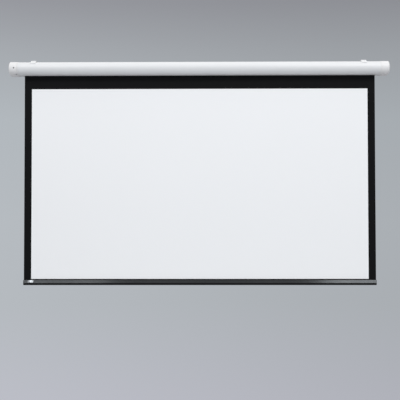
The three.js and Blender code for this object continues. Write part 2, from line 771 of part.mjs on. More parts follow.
function addMotorInside() {
  addPiece(motor, 'motor_tube', pipe(fitGap, motorLength, motorBore, motorRadius, fineFacets), bareSteel);
  const can = turned([
    [0, 0], [0, capacitorRadius], [capacitorLength - capacitorRim, capacitorRadius],
    [capacitorLength - capacitorRim, motorFit], [capacitorLength, motorFit], [capacitorLength, 0],
  ]);
  addPiece(motor, 'capacitor', can, whitePlastic, capacitorFrom);

  const shaftBore = rotorShaft + rotorShaftRun;
  const stator = turned([
    [0, shaftBore], [0, motorFit], [statorLength, motorFit], [statorLength, statorBore],
    [statorWall, statorBore], [statorWall, shaftBore],
  ]);
  addPiece(motor, 'stator', stator, copperWinding, statorFrom);

  const brake = turned([
    [0, brakeBore], [0, motorFit], [brakeLength, motorFit], [brakeLength, shaftBore],
    [brakeLength - brakeWall, shaftBore], [brakeLength - brakeWall, brakeBore],
  ]);
  addPiece(motor, 'brake', brake, castAluminium, brakeFrom);

  const rotorFrom = statorFrom + statorWall + fitGap;
  const rotorTo = statorFrom + statorLength - rotorEndRoom;
  const discFrom = brakeFrom + fitGap;
  const rotor = turned([
    [statorFrom, 0], [statorFrom, rotorShaft], [rotorFrom, rotorShaft], [rotorFrom, rotorRadius],
    [rotorTo, rotorRadius], [rotorTo, rotorShaft],
    [discFrom, rotorShaft], [discFrom, brakeBore - 2 * fitGap],
    [discFrom + brakeDisc, brakeBore - 2 * fitGap], [discFrom + brakeDisc, rotorShaft],
    [gearboxFrom + rotorPast, rotorShaft], [gearboxFrom + rotorPast, 0],
  ]);
  addPiece(motor, 'rotor', rotor, bareSteel);

  const gearboxTo = gearboxFrom + gearboxLength;
  const neck = motorFit - gearboxRib;
  const profile = [[gearboxFrom, 0], [gearboxFrom, motorFit]];
  const pitch = gearboxLength / (2 * gearboxRibs + 1);
  for (let i = 0; i < gearboxRibs; i++) {
    const start = gearboxFrom + pitch * (2 * i + 1);
    profile.push([start, motorFit], [start, neck], [start + pitch, neck], [start + pitch, motorFit]);
  }
  profile.push([gearboxTo, motorFit], [gearboxTo, 0]);
  const outputBore = rod(motorLength - outputSeat - fitGap, motorLength + overrun,
    outputRadius + 2 * fitGap, smallFacets);
  const inputBore = rod(gearboxFrom - overrun, gearboxFrom + rotorPast + fitGap,
    rotorShaft + 2 * fitGap, smallFacets);
  addPiece(motor, 'gearbox', cut(turned(profile), outputBore, inputBore), castAluminium);
}

function addWiring() {
  const blockRight = -fitGap;
  const blockLeft = blockRight - terminalLength;
  const block = box(blockLeft, blockRight, terminalY - terminalDepth / 2, terminalY + terminalDepth / 2,
    -terminalHeight / 2, terminalHeight / 2);
  const notches = Array.from({ length: terminalBlocks - 1 }, (_, i) => {
    const z = -terminalHeight / 2 + terminalHeight * (i + 1) / terminalBlocks;
    return box(blockLeft - overrun, blockLeft + terminalLength / 2, terminalY - terminalDepth / 2 - overrun,
      terminalY + terminalDepth / 2 + overrun, z - terminalNotch / 2, z + terminalNotch / 2);
  });
  const leadHole = moved(rod(blockLeft - overrun, blockLeft + leadSeat + fitGap, leadRadius + fitGap,
    smallFacets), 0, terminalY, leadZ);
  const terminal = cut(block, ...notches, leadHole);
  addPiece(motor, 'terminal_block', terminal, whitePlastic);

  const route = new THREE.CurvePath();
  const turnX = -headLength - leadTurn / 2;
  const place = (x, y) => new THREE.Vector3(x, y, leadZ);
  const bow = turnX - leadTurn;
  const middleY = (leadY + terminalY) / 2;
  route.add(new THREE.LineCurve3(place(-headLength + leadSeat, leadY), place(turnX, leadY)));
  route.add(new THREE.QuadraticBezierCurve3(place(turnX, leadY), place(bow, leadY), place(bow, middleY)));
  route.add(new THREE.QuadraticBezierCurve3(
    place(bow, middleY), place(bow, terminalY), place(turnX, terminalY)));
  route.add(new THREE.LineCurve3(place(turnX, terminalY), place(blockLeft + leadSeat, terminalY)));
  const lead = new THREE.ExtrudeGeometry(new THREE.Shape(ring(0, 0, leadRadius, leadFacets)),
    { steps: leadSteps, bevelEnabled: false, extrudePath: route });
  addPiece(motor, 'motor_lead', outwardGeometry(lead), rubber);

  const wallOutside = backFace + capGrowth;
  const wallInside = backFace + capGrowth - capWall - fitGap;
  const gland = pointing(turned([
    [wallInside - glandInside, glandBore], [wallInside - glandInside, glandStub],
    [wallOutside + fitGap, glandStub], [wallOutside + fitGap, glandHead],
    [wallOutside + fitGap + glandHeadLength, glandHead],
    [wallOutside + fitGap + glandHeadLength, glandBore],
  ], smallFacets), 0);
  addPiece(caseWork, 'cable_gland', gland, blackPlastic, leftRim - glandFromRim, 0, glandZ);
  const nut = pointing(pipe(wallInside - fitGap - glandNutThickness, wallInside - fitGap,
    glandStub + fitGap, glandNut, smallFacets), 0);
  addPiece(caseWork, 'gland_nut', nut, blackPlastic, leftRim - glandFromRim, 0, glandZ);
}

// The sheet hangs straight down from the back of the roll
function addSheet() {
  const panel = (x0, x1, z0, z1) => box(x0, x1, sheetFront, sheetFront + sheetThickness, z0, z1);
  const half = viewWidth / 2;
  const edge = sheetWidth / 2;
  addPiece(caseWork, 'viewing_surface', panel(-half, half, viewBottom, viewTop), mattWhite);
  addPiece(caseWork, 'black_drop', panel(-edge, edge, viewTop + fitGap, 0), mattBlack);
  addPiece(caseWork, 'left_black_border', panel(-edge, -half - fitGap, viewBottom, viewTop), mattBlack);
  addPiece(caseWork, 'right_black_border', panel(half + fitGap, edge, viewBottom, viewTop), mattBlack);
}

// Bottom bar: zero is the middle of the sheet at the top of the bar
const weightBar = new THREE.Group();
weightBar.position.set(0, sheetMiddle, barTop);
caseWork.add(weightBar);

function barFrontFace() {
  return new THREE.QuadraticBezierCurve(
    at(-barTopHalf, 0), at(-barShoulderHalf, -barShoulder), at(-barDepth / 2, -barBelly));
}

function barOutline() {
  const lower = new THREE.QuadraticBezierCurve(
    at(-barDepth / 2, -barBelly), at(-barKeelHalf, -barKeel), at(-barFootHalf, -barHeight));
  const upperPoints = barFrontFace().getPoints(faceSteps);
  const front = [...upperPoints, ...lower.getPoints(faceSteps).slice(1)];
  const back = front.map((point) => at(-point.x, point.y)).reverse();
  return [...front, ...back];
}

function barHollow(inset) {
  const floor = -channelDepth - channelRadius - inset;
  const inner = prism(shifted(barOutline(), -inset, true), -barEnd - overrun, barEnd + overrun);
  const below = box(-barEnd - overrun, barEnd + overrun, -barDepth, barDepth, -barHeight, floor);
  return common(inner, below);
}

function addBar() {
  const solidBar = prism(barOutline(), -barEnd, barEnd);
  const channel = prism(ring(0, -channelDepth, channelRadius, channelFacets),
    -barEnd - overrun, barEnd + overrun);
  const mouth = box(-barEnd - overrun, barEnd + overrun, -barSlot / 2, barSlot / 2, -channelDepth, overrun);
  addPiece(weightBar, 'bottom_bar', cut(solidBar, channel, mouth, barHollow(barWall)), blackAnodised);

  const lid = prism(barOutline(), -barCapThickness, 0);
  const plug = common(barHollow(barWall + fitGap),
    box(-barCapThickness / 2, barPlug, -barDepth, barDepth, -barHeight, 0));
  const barCap = join(lid, plug);
  addPiece(weightBar, 'left_bar_cap', barCap, blackPlastic, -barEnd - fitGap);
  addPiece(weightBar, 'right_bar_cap', mirrored(barCap), blackPlastic, barEnd + fitGap);

  const rodEnd = sheetWidth / 2 - hemRodInset;
  const hemRod = moved(rod(-rodEnd, rodEnd, hemRodRadius, smallFacets), 0, 0, -channelDepth);
  addPiece(weightBar, 'hem_rod', hemRod, greyPlastic);

  const loopInner = hemRodRadius + fitGap;
  const loopOuter = loopInner + sheetThickness;
  const edge = sheetWidth / 2;
  const loop = prism(ring(0, -channelDepth, loopOuter, channelFacets), -edge, edge,
    [ring(0, -channelDepth, loopInner, channelFacets)]);
  const strip = box(-edge, edge, -sheetThickness / 2, sheetThickness / 2,
    -channelDepth + loopInner + sheetThickness / 2, bottomBorder - fitGap);
  addPiece(weightBar, 'hem_strip', join(strip, loop), mattBlack);

  const faceLine = barFrontFace().getPoints(2 * faceSteps);
  const from = Math.round(faceLine.length * badgeFromShare);
  const to = Math.round(faceLine.length * badgeToShare);
  const plateLine = shifted(faceLine.slice(from, to), fitGap + badgeThickness / 2);
  const badge = prism(ribbon(plateLine, badgeThickness), -badgeWidth / 2, badgeWidth / 2);
  addPiece(weightBar, 'badge_plate', badge, plainPlate, -sheetWidth / 2 + badgeInset);
}

addCase();
addEndCaps();
addEndPlates();
addBrackets();
addMotorHead();
addMotorInside();
addWiring();
addRoller();
addIdleEnd();
addSheet();
addBar();

export default projectionScreen;
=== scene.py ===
# Motorized projection screen, lowered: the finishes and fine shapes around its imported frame, in metres.

import json
import math

import bmesh
import bpy
from bpy.props import FloatProperty, FloatVectorProperty, IntProperty, PointerProperty
from mathutils import Matrix, Vector
from mathutils.geometry import tessellate_polygon

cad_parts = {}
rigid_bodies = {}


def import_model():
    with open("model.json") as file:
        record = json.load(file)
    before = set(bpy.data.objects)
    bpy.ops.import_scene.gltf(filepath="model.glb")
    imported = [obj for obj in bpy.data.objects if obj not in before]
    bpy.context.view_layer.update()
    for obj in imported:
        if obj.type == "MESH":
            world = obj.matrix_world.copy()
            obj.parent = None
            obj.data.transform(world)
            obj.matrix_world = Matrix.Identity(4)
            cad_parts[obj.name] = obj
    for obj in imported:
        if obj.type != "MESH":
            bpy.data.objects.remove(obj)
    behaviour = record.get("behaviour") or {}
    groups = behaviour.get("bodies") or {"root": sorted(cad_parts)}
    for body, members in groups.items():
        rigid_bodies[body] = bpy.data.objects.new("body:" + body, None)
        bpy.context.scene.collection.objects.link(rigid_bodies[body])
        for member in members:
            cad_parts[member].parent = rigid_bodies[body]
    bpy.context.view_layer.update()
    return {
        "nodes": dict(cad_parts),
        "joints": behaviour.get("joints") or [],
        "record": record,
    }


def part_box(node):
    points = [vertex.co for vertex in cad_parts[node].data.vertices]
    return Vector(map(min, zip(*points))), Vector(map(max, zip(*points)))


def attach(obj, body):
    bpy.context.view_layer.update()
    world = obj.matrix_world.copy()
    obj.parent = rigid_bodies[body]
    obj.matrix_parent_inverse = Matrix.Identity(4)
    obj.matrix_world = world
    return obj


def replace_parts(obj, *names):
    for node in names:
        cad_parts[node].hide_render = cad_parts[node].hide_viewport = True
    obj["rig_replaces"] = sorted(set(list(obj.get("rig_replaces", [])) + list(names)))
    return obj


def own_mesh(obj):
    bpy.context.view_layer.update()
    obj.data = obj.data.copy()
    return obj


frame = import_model()

bl_info = {
    "name": "Motorized projection screen",
    "version": (1, 0, 0),
    "blender": (4, 5, 0),
    "location": "View3D > Sidebar > Projection screen",
    "description": "Builds the looks of a lowered motorized projection screen around its frame",
    "category": "Object",
}

# Places taken from the frame: the roller's axis carries the case work
case_low, case_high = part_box("case_shell")
view_low, view_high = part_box("viewing_surface")
drop_low, drop_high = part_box("black_drop")
bar_low, bar_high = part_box("bottom_bar")
roll_low, roll_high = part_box("fabric_roll")
case_radius = (case_high.z - case_low.z) / 2
axis = Vector((0, case_low.y + case_radius, (case_high.z + case_low.z) / 2))
sheet_y = (view_low.y + view_high.y) / 2
sheet_thickness = view_high.y - view_low.y


# Kinds of setting

def distance(name, description, default):
    return FloatProperty(name=name, description=description, default=default, min=0.0,
                         precision=5, subtype="DISTANCE", unit="LENGTH")


def place(name, description, default):
    return FloatVectorProperty(name=name, description=description, default=default, size=3,
                               subtype="TRANSLATION", unit="LENGTH")


def angle(name, description, degrees):
    return FloatProperty(name=name, description=description, default=math.radians(degrees),
                         subtype="ANGLE", unit="ROTATION")


def colour(name, description, default):
    return FloatVectorProperty(name=name, description=description, default=default, size=3,
                               min=0.0, max=1.0, subtype="COLOR")


def power(name, description, default):
    return FloatProperty(name=name, description=description, default=default, min=0.0, unit="POWER")


def steps(name, description, default):
    return IntProperty(name=name, description=description, default=default, min=3)


class CaseSettings(bpy.types.PropertyGroup):
    wall: distance("Wall", "Thickness of the extrusion", 0.002)
    corner: distance("Back corner", "Radius of the two corners at the wall side", 0.005)
    slot_width: distance("Slot", "Width of the slot between the middles of its lips", 0.016)
    lip: distance("Lip", "Radius of the round lips along the slot", 0.002)
    port: distance("Screw port", "Outer radius of a screw port", 0.004)
    port_bore: distance("Port bore", "Radius of a screw port's bore", 0.002)
    rail_reach: distance("Rail reach", "How far the back rails stand out", 0.006)
    rail_drop: distance("Rail lip", "Height of a back rail with its lip", 0.008)
    rail_wall: distance("Rail thickness", "Thickness of a back rail", 0.002)
    rail_setback: distance("Rail setback", "How far the rails stop short of the ends", 0.008)
    upper_rail: distance("Upper rail", "Depth of the upper rail below the case's top", 0.014)
    lower_rail: distance("Lower rail", "Height of the lower rail above the underside", 0.014)
    facets: steps("Facets", "Facets round the half-moon's front", 72)
    corner_facets: steps("Corner facets", "Facets round each back corner", 9)
    lip_facets: steps("Lip facets", "Facets round each lip of the slot", 20)
    paint: colour("Paint", "White paint of the case", (0.745, 0.75, 0.755))


class CapSettings(bpy.types.PropertyGroup):
    growth: distance("Growth", "How far the caps stand outside the case", 0.0015)
    wall: distance("Wall", "Wall of a moulded cap", 0.0024)
    overlap: distance("Overlap", "How far a cap reaches over the case", 0.004)
    dome: distance("Dome", "Depth of the rounded end", 0.014)
    inset: distance("Dome inset", "How far the rounded end draws in", 0.030)
    rim: distance("Rim edge", "Rounding of the rim at the seam", 0.0007)
    groove_start: distance("Groove start", "From the rim to the groove that marks the seam", 0.0048)
    groove_width: distance("Groove width", "Width of the groove", 0.0020)
    groove_depth: distance("Groove depth", "Depth of the groove", 0.0022)
    screw_y: distance("Screw setback", "Cap screws behind the roller's axis", 0.034)
    screw_z: distance("Screw height", "Cap screws above and below the roller's axis", 0.030)
    column: distance("Screw column", "Radius of the column round a cap screw", 0.006)
    well: distance("Screw well", "Radius of the well over a cap screw", 0.0039)
    well_depth: distance("Well depth", "Depth of the well from the cap's tip", 0.018)
    screw_bore: distance("Screw bore", "Radius of the bore for a cap screw's shank", 0.0023)
    gap: distance("Gap", "Clearance between a cap and the case", 0.0003)
    access: distance("Access hole", "Radius of the holes over the limit screws", 0.0047)
    chamfer: distance("Hole edge", "Chamfer round the holes", 0.0003)
    lip: distance("Hole lip", "Thickness left round the access holes", 0.0008)
    relief: distance("Hole relief", "How far the wall is thinned round the access holes", 0.002)
    gland_hole: distance("Gland hole", "Radius of the hole for the gland's stub", 0.0063)
    dome_steps: steps("Dome steps", "Rings over the rounded end", 12)
    hollow_steps: steps("Hollow steps", "Rings over the rounded end of the hollow", 4)
    rim_steps: steps("Rim steps", "Rings over the rounding of the rim", 4)
    plastic: colour("Plastic", "White plastic of the caps", (0.775, 0.768, 0.765))


class FastenerSettings(bpy.types.PropertyGroup):
    cap_head: distance("Cap screw head", "Height of a cap screw's head", 0.003)
    cap_shank: distance("Cap screw shank", "Radius of a cap screw's shank", 0.002)
    bolt_head: distance("Bolt head", "Height of a clamp bolt's head", 0.0035)
    bolt_shank: distance("Bolt shank", "Radius of a clamp bolt's shank", 0.003)


class BracketSettings(bpy.types.PropertyGroup):
    plate: distance("Plate", "Thickness of the bent plate", 0.003)
    bend: distance("Bend", "Radius of the bend into the ceiling leg", 0.005)
    nose_start: distance("Nose start", "Where the nose leaves the ceiling leg", 0.008)
    nose_from: angle("Nose from", "Where the nose meets the case, from the top", 24)
    nose_to: angle("Nose to", "Where the nose ends, from the top", 49)
    clearance: distance("Clearance", "Gap between the nose and the case", 0.0003)
    claw: distance("Claw", "Thickness of the hooks at the back rails", 0.0025)
    claw_gap: distance("Claw gap", "Gap between a hook and the case's back", 0.0009)
    edge: distance("Edge", "Rounding of the punched edges", 0.0005)
    hole: distance("Screw hole", "Radius of the mounting holes", 0.00325)
    bolt_hole: distance("Bolt hole", "Radius of the clamp bolt's hole", 0.0033)
    bolt_drop: distance("Bolt drop", "Clamp bolt below the case", 0.012)
    jaw_plate: distance("Jaw plate", "Thickness of a clamp jaw", 0.0025)
    wall_hole_high: distance("Upper wall hole", "Depth of the upper wall hole", 0.022)
    wall_hole_low: distance("Lower wall hole", "Depth of the lower wall hole", 0.070)
    ceiling_hole_near: distance("Near ceiling hole", "Near ceiling hole from the wall", 0.018)
    ceiling_hole_far: distance("Far ceiling hole", "Far ceiling hole from the wall", 0.044)
    bend_steps: steps("Bend steps", "Facets round the bend", 10)
    shoulder_steps: steps("Shoulder steps", "Facets from the ceiling leg to the nose", 12)
    nose_steps: steps("Nose steps", "Facets along the nose", 16)


class GlandSettings(bpy.types.PropertyGroup):
    bore: distance("Bore", "Radius of the cord's way through", 0.0035)
    stub: distance("Stub", "Radius of the threaded stub", 0.006)
    gap: distance("Gap", "Clearance between the hexagon and the cap", 0.0003)
    hexagon: distance("Hexagon", "Thickness of the hexagon", 0.003)
    neck: distance("Neck", "Length of stub between the hexagon and the nut", 0.0004)
    flutes: steps("Flutes", "Flutes round the nut", 9)
    flute_depth: distance("Flute depth", "Half the depth of a flute", 0.0004)
    flute_inset: distance("Flute inset", "The flutes' middle depth inside the hexagon's corners", 0.0005)
    taper: distance("Taper", "Length of the nut's tapered nose", 0.0018)
    nose: distance("Nose", "Length of the rounding at its tip", 0.0005)
    edge: distance("Edge", "Rounding of the edges", 0.00015)
    facets: steps("Facets", "Facets round the gland", 108)
    plastic: colour("Plastic", "Black plastic of the gland", (0.016, 0.016, 0.017))


class SheetSettings(bpy.types.PropertyGroup):
    white: colour("White", "Viewing surface", (0.90, 0.905, 0.91))
    black: colour("Black", "Masking borders", (0.0066, 0.0066, 0.0072))
    pitch: distance("Thread pitch", "Spacing of the weave", 0.0006)
    edge_curl: distance("Edge curl", "How far the side edges bow back at mid height", 0.0016)
    curl_width: distance("Curl width", "Width of the bowed strip at each side", 0.09)
    wave: distance("Wave", "Depth of the soft waves across the sheet", 0.0005)
    hem_gap: distance("Hem gap", "Clearance between the hem's loop and its rod", 0.0003)
    wraps: steps("Wraps", "Wraps of the sheet left on the roller", 3)
    turn_steps: steps("Turn steps", "Steps in one wrap", 72)
    hem_steps: steps("Hem steps", "Facets round the hem's loop", 48)


class BarSettings(bpy.types.PropertyGroup):
    top_half: distance("Top", "Half width at the top", 0.0042)
    foot_half: distance("Foot", "Half width at the foot", 0.0025)
    belly: distance("Belly", "Depth of the widest line below the top", 0.0205)
    shoulder: distance("Shoulder", "Depth of the upper face's middle", 0.008)
    shoulder_half: distance("Shoulder half", "Half width at that depth", 0.0057)
    keel: distance("Keel", "Depth of the lower face's middle", 0.029)
    keel_half: distance("Keel half", "Half width at that depth", 0.0064)
    channel: distance("Channel", "Radius of the channel that holds the hem", 0.0044)
    channel_depth: distance("Channel depth", "Depth of the channel's middle", 0.009)
    mouth: distance("Mouth", "Width of the channel's mouth", 0.0022)
    wall: distance("Wall", "Wall of the extrusion", 0.0016)
    rod: distance("Hem rod", "Radius of the rod in the hem", 0.003)
    plug_edge: distance("Plug edge", "Rounding of the end plugs", 0.0006)
    plate_thickness: distance("Plate thickness", "Thickness of the small plate", 0.0008)
    plate_gap: distance("Plate gap", "Clearance between the small plate and the bar", 0.0003)
    plate_edge: distance("Plate edge", "Rounding of the small plate", 0.0003)
    facets: steps("Facets", "Facets down each half of a face", 10)
    channel_facets: steps("Channel facets", "Facets round the channel", 40)
    plate_facets: steps("Plate facets", "Facets down the face that the small plate follows", 48)
    anodised: colour("Anodised", "Black of the bar", (0.0035, 0.0036, 0.0042))
    plugs: colour("Plugs", "Black plastic of the end plugs", (0.012, 0.012, 0.013))
    plate: colour("Plate", "Bare metal of the small plate", (0.74, 0.75, 0.76))


class StageSettings(bpy.types.PropertyGroup):
    camera: place("Camera", "Where the camera stands", (0.0605, -5.5326, -1.1161))
    pitch: angle("Pitch", "How far the camera looks up", 1.5475)
    yaw: angle("Yaw", "How far the camera turns to the left", 0.594)
    roll: angle("Roll", "How far the camera leans", 0.054)
    lens: FloatProperty(name="Lens", description="Focal length on a 36 mm sensor, in millimetres",
                        default=71.31, unit="CAMERA")
    floor_level: FloatProperty(name="Floor level", description="Height of the floor", default=-3.5,
                               subtype="DISTANCE", unit="LENGTH")
    floor_reach: distance("Floor reach", "Radius at which the floor has faded out", 4.6)
    floor: colour("Floor", "Pale floor", (0.37, 0.375, 0.385))
    left_light: place("Left light", "Middle of the left soft light", (-2.84, -5.83, 4.36))
    right_light: place("Right light", "Middle of the right soft light", (2.99, -5.65, 4.62))
    aim: place("Aim", "Where the soft lights point", (0.0, 0.0, -0.8))
    light_width: distance("Light width", "Width of each soft light", 1.6)
    light_height: distance("Light height", "Height of each soft light", 1.9)
    left_power: power("Left power", "Power of the left soft light", 138)
    right_power: power("Right power", "Power of the right soft light", 193)
    strip_height: distance("Strip height", "Height of the low lights that show in the bar", 0.5)
    strip_level: distance("Strip level", "Height of their middles above the brackets' top", 0.32)
    strip_setback: distance("Strip setback", "How far they stand in front of the wall", 6.2)
    strip_tint: colour("Strip tint", "Colour of the low lights", (0.90, 0.96, 1.0))
    under_light: place("Under light", "Middle of the strip under the screen", (0.0, -0.35, -3.3))
    under_width: distance("Under light width", "Width of the strip under the screen", 3.4)
    under_depth: distance("Under light depth", "Depth of the strip under the screen", 0.3)
    under_power: power("Under power", "Power of the strip under the screen", 11)
    overhead: FloatProperty(name="Overhead", description="Brightness of the studio's ceiling",
                            default=0.85, min=0.0)


def settings(name):
    """The scene's group of settings with that name."""
    return getattr(bpy.context.scene, "projection_" + name)


# Shader wiring

class Wire:
    """One output of a node, with arithmetic that adds the nodes it needs."""

    def __init__(self, board, socket):
        self.board = board
        self.socket = socket

    def __add__(self, other):
        return self.board.maths("ADD", self, other)

    __radd__ = __add__

    def __sub__(self, other):
        return self.board.maths("SUBTRACT", self, other)

    def __rsub__(self, other):
        return self.board.maths("SUBTRACT", other, self)

    def __mul__(self, other):
        return self.board.maths("MULTIPLY", self, other)

    __rmul__ = __mul__

    def sine(self):
        return self.board.maths("SINE", self)

    def absolute(self):
        return self.board.maths("ABSOLUTE", self)

    def spread(self, low, high, to_low=0.0, to_high=1.0):
        """The value eased from one range onto another, and held at its ends."""
        return self.board.node("ShaderNodeMapRange", {"interpolation_type": "SMOOTHSTEP"},
                               {0: self, 1: low, 2: high, 3: to_low, 4: to_high})


class Board:
    """A tree of shader nodes under construction."""

    def __init__(self, tree):
        self.tree = tree

    def feed(self, socket, value):
        if isinstance(value, Wire):
            self.tree.links.new(value.socket, socket)
        else:
            socket.default_value = value

    def node(self, kind, options=None, sockets=None, output=0):
        made = self.tree.nodes.new(kind)
        for key, value in (options or {}).items():
            if key == "stops":
                self.set_stops(made.color_ramp, value)
            else:
                setattr(made, key, value)
        for key, value in (sockets or {}).items():
            self.feed(made.inputs[key], value)
        return Wire(self, made.outputs[output])

    @staticmethod
    def set_stops(ramp, stops):
        while len(ramp.elements) < len(stops):
            ramp.elements.new(0.5)
        for element, (position, tone) in zip(ramp.elements, stops):
            element.position = position
            element.color = (*tone, 1.0)

    def maths(self, operation, *values):
        return self.node("ShaderNodeMath", {"operation": operation}, dict(enumerate(values)))

    def split(self, vector):
        parts = self.node("ShaderNodeSeparateXYZ", sockets={0: vector})
        return [Wire(self, parts.socket.node.outputs[i]) for i in range(3)]

    def mix(self, factor, first, second):
        def tone(value):
            return value if isinstance(value, Wire) else (*value, 1.0)
        return self.node("ShaderNodeMix", {"data_type": "RGBA"},
                         {0: factor, 6: tone(first), 7: tone(second)}, output=2)


class Finish(Board):
    """A material under construction, its patterns laid out in metres on the piece."""

    def __init__(self, name):
        self.material = bpy.data.materials.new(name)
        self.material.use_nodes = True
        super().__init__(self.material.node_tree)
        self.shader = self.tree.nodes["Principled BSDF"]
        self.spot = self.node("ShaderNodeTexCoord", output=3)

    def grain(self, per_metre, detail, stretch=(1.0, 1.0, 1.0), roughness=0.5):
        """Soft noise with about that many blotches in a metre, drawn out along an axis by its stretch."""
        scaled = self.node("ShaderNodeMapping", sockets={
            "Vector": self.spot, "Scale": tuple(1.0 / s for s in stretch)})
        return self.node("ShaderNodeTexNoise", sockets={
            "Vector": scaled, "Scale": per_metre, "Detail": detail, "Roughness": roughness})

    def facing_up(self):
        normal = self.node("ShaderNodeNewGeometry", output=1)
        return self.split(normal)[2]

    def bump(self, height, depth, strength):
        return self.node("ShaderNodeBump", sockets={
            "Strength": strength, "Distance": depth, "Height": height})

    def surface(self, **values):
        """Feeds the shader: base_color for its Base Color socket, and so on for the others."""
        names = {socket.name.lower().replace(" ", "_"): socket for socket in self.shader.inputs}
        for key, value in values.items():
            self.feed(names[key], value)
        return self.material


def tinted(tone, factor):
    return tuple(min(1.0, part * factor) for part in tone)


def paint_finish(name, tone, along=(1.0, 1.0, 1.0)):
    """White paint with a fine orange peel, a trace of the metal's draw lines and dust on what faces up."""
    finish = Finish(name)
    peel = finish.grain(650, 2.0)
    drawn = finish.grain(500, 2.0, along)
    cloud = finish.grain(5, 4.0)
    dust = finish.facing_up().spread(0.75, 1.0) * finish.grain(90, 4.0).spread(0.45, 0.75)
    clean = finish.mix(cloud, tinted(tone, 0.985), tinted(tone, 1.015))
    base = finish.mix(dust * 0.25, clean, (0.55, 0.53, 0.50))
    height = peel * 0.7 + drawn * 0.3
    rough = cloud * 0.06 + dust * 0.2 + 0.37
    return finish.surface(base_color=base, roughness=rough, specular_ior_level=0.45,
                          normal=finish.bump(height, 0.00006, 0.5))


def moulded_finish(name, tone, roughness, texture=1400, depth=0.00005, fleck=0.02):
    """Moulded plastic with a fine spark texture and slow changes of tone from the mould's flow."""
    finish = Finish(name)
    spark = finish.grain(texture, 3.0, roughness=0.65)
    flow = finish.grain(14, 3.0)
    rub = finish.grain(45, 5.0).spread(0.62, 0.8)
    base = finish.mix(flow, tinted(tone, 1.0 - fleck), tinted(tone, 1.0 + fleck))
    rough = spark * 0.08 + flow * 0.05 + rub * 0.08 + (roughness - 0.08)
    return finish.surface(base_color=base, roughness=rough, specular_ior_level=0.45,
                          normal=finish.bump(spark, depth, 0.6))


def zinc_finish(name):
    """Bright zinc plate: faint warm and cool patches over fine rolling lines."""
    finish = Finish(name)
    patch = finish.grain(140, 4.0)
    lines = finish.grain(1500, 2.0, (1.0, 12.0, 1.0))
    stain = finish.grain(320, 5.0).spread(0.6, 0.78)
    sheen = finish.node("ShaderNodeValToRGB", {"stops": [
        (0.30, (0.47, 0.50, 0.56)), (0.50, (0.56, 0.57, 0.57)), (0.70, (0.62, 0.58, 0.47))]}, {0: patch})
    base = finish.mix(stain * 0.4, sheen, (0.34, 0.35, 0.36))
    rough = patch * 0.14 + lines * 0.10 + stain * 0.15 + 0.20
    return finish.surface(base_color=base, metallic=1.0, roughness=rough,
                          normal=finish.bump(lines, 0.00003, 0.5))


def metal_finish(name, tone, roughness, stretch=(1.0, 1.0, 1.0), texture=1200, depth=0.00003, cast=0.0):
    """Bare metal: drawn, turned or cast, by how its grain is stretched."""
    finish = Finish(name)
    lines = finish.grain(texture, 3.0, stretch)
    cloud = finish.grain(30, 4.0)
    pits = finish.grain(420, 5.0, roughness=0.7).spread(0.52, 0.70)
    base = finish.mix(cloud, tinted(tone, 0.88), tinted(tone, 1.08))
    rough = lines * 0.14 + cloud * 0.08 + pits * cast * 0.3 + (roughness - 0.10)
    height = lines * (1.0 - cast) + pits * cast
    return finish.surface(base_color=base, metallic=1.0, roughness=rough,
                          normal=finish.bump(height, depth * (1.0 + 3.0 * cast), 0.6))


def winding_finish(name):
    """Enamelled copper wire laid side by side round the stator, with a lacing cord."""
    wire_pitch, lacing_pitch = 0.0007, 0.012
    finish = Finish(name)
    along, _, up = finish.split(finish.spot)
    wires = (along * (2 * math.pi / wire_pitch)).sine().absolute()
    lacing = ((along + up * 0.3) * (2 * math.pi / lacing_pitch)).sine().spread(0.88, 0.98)
    shade = finish.grain(260, 3.0)
    wire = finish.mix(shade, (0.30, 0.075, 0.022), (0.52, 0.19, 0.07))
    base = finish.mix(lacing, wire, (0.62, 0.58, 0.48))
    return finish.surface(base_color=base, metallic=1.0 - lacing, roughness=wires * 0.15 + 0.28,
                          normal=finish.bump(wires, 0.0002, 0.8))


def cloth_finish(name, tone, pitch, roughness, lint, specular):
    """Coated screen cloth: the weave shows through the coating, with a trace of lint."""
    finish = Finish(name)
    across, _, down = finish.split(finish.spot)
    warp = (across * (2 * math.pi / pitch)).sine()
    weft = (down * (2 * math.pi / pitch)).sine()
    weave = warp * weft * 0.5 + 0.5
    bead = finish.grain(2600, 2.0)
    cloud = finish.grain(2.2, 3.0)
    fluff = finish.grain(160, 6.0, roughness=0.7).spread(0.66, 0.80) * lint
    woven = finish.mix(weave * 0.5 + bead * 0.5, tinted(tone, 0.975), tinted(tone, 1.02))
    clouded = finish.mix(cloud, tinted(tone, 0.99), tinted(tone, 1.01))
    body = finish.mix(0.5, woven, clouded)
    base = finish.mix(fluff, body, tinted(tone, 1.6))
    return finish.surface(base_color=base, roughness=bead * 0.08 + (roughness - 0.04),
                          specular_ior_level=specular,
                          normal=finish.bump(weave * 0.7 + bead * 0.3, 0.00004, 0.5))


def anodised_finish(name, tone):
    """Black anodised extrusion: fine lines along its length, rubbed a little paler here and there."""
    finish = Finish(name)
    lines = finish.grain(1600, 2.0, (60.0, 1.0, 1.0))
    haze = finish.grain(9, 4.0, (3.0, 1.0, 1.0))
    rub = finish.grain(70, 5.0, (6.0, 1.0, 1.0)).spread(0.62, 0.80)
    base = finish.mix(rub * 0.5, tone, tinted(tone, 2.2))
    rough = lines * 0.05 + haze * 0.05 + rub * 0.06 + 0.09
    return finish.surface(base_color=base, roughness=rough, specular_ior_level=0.25,
                          normal=finish.bump(lines, 0.000004, 0.5))


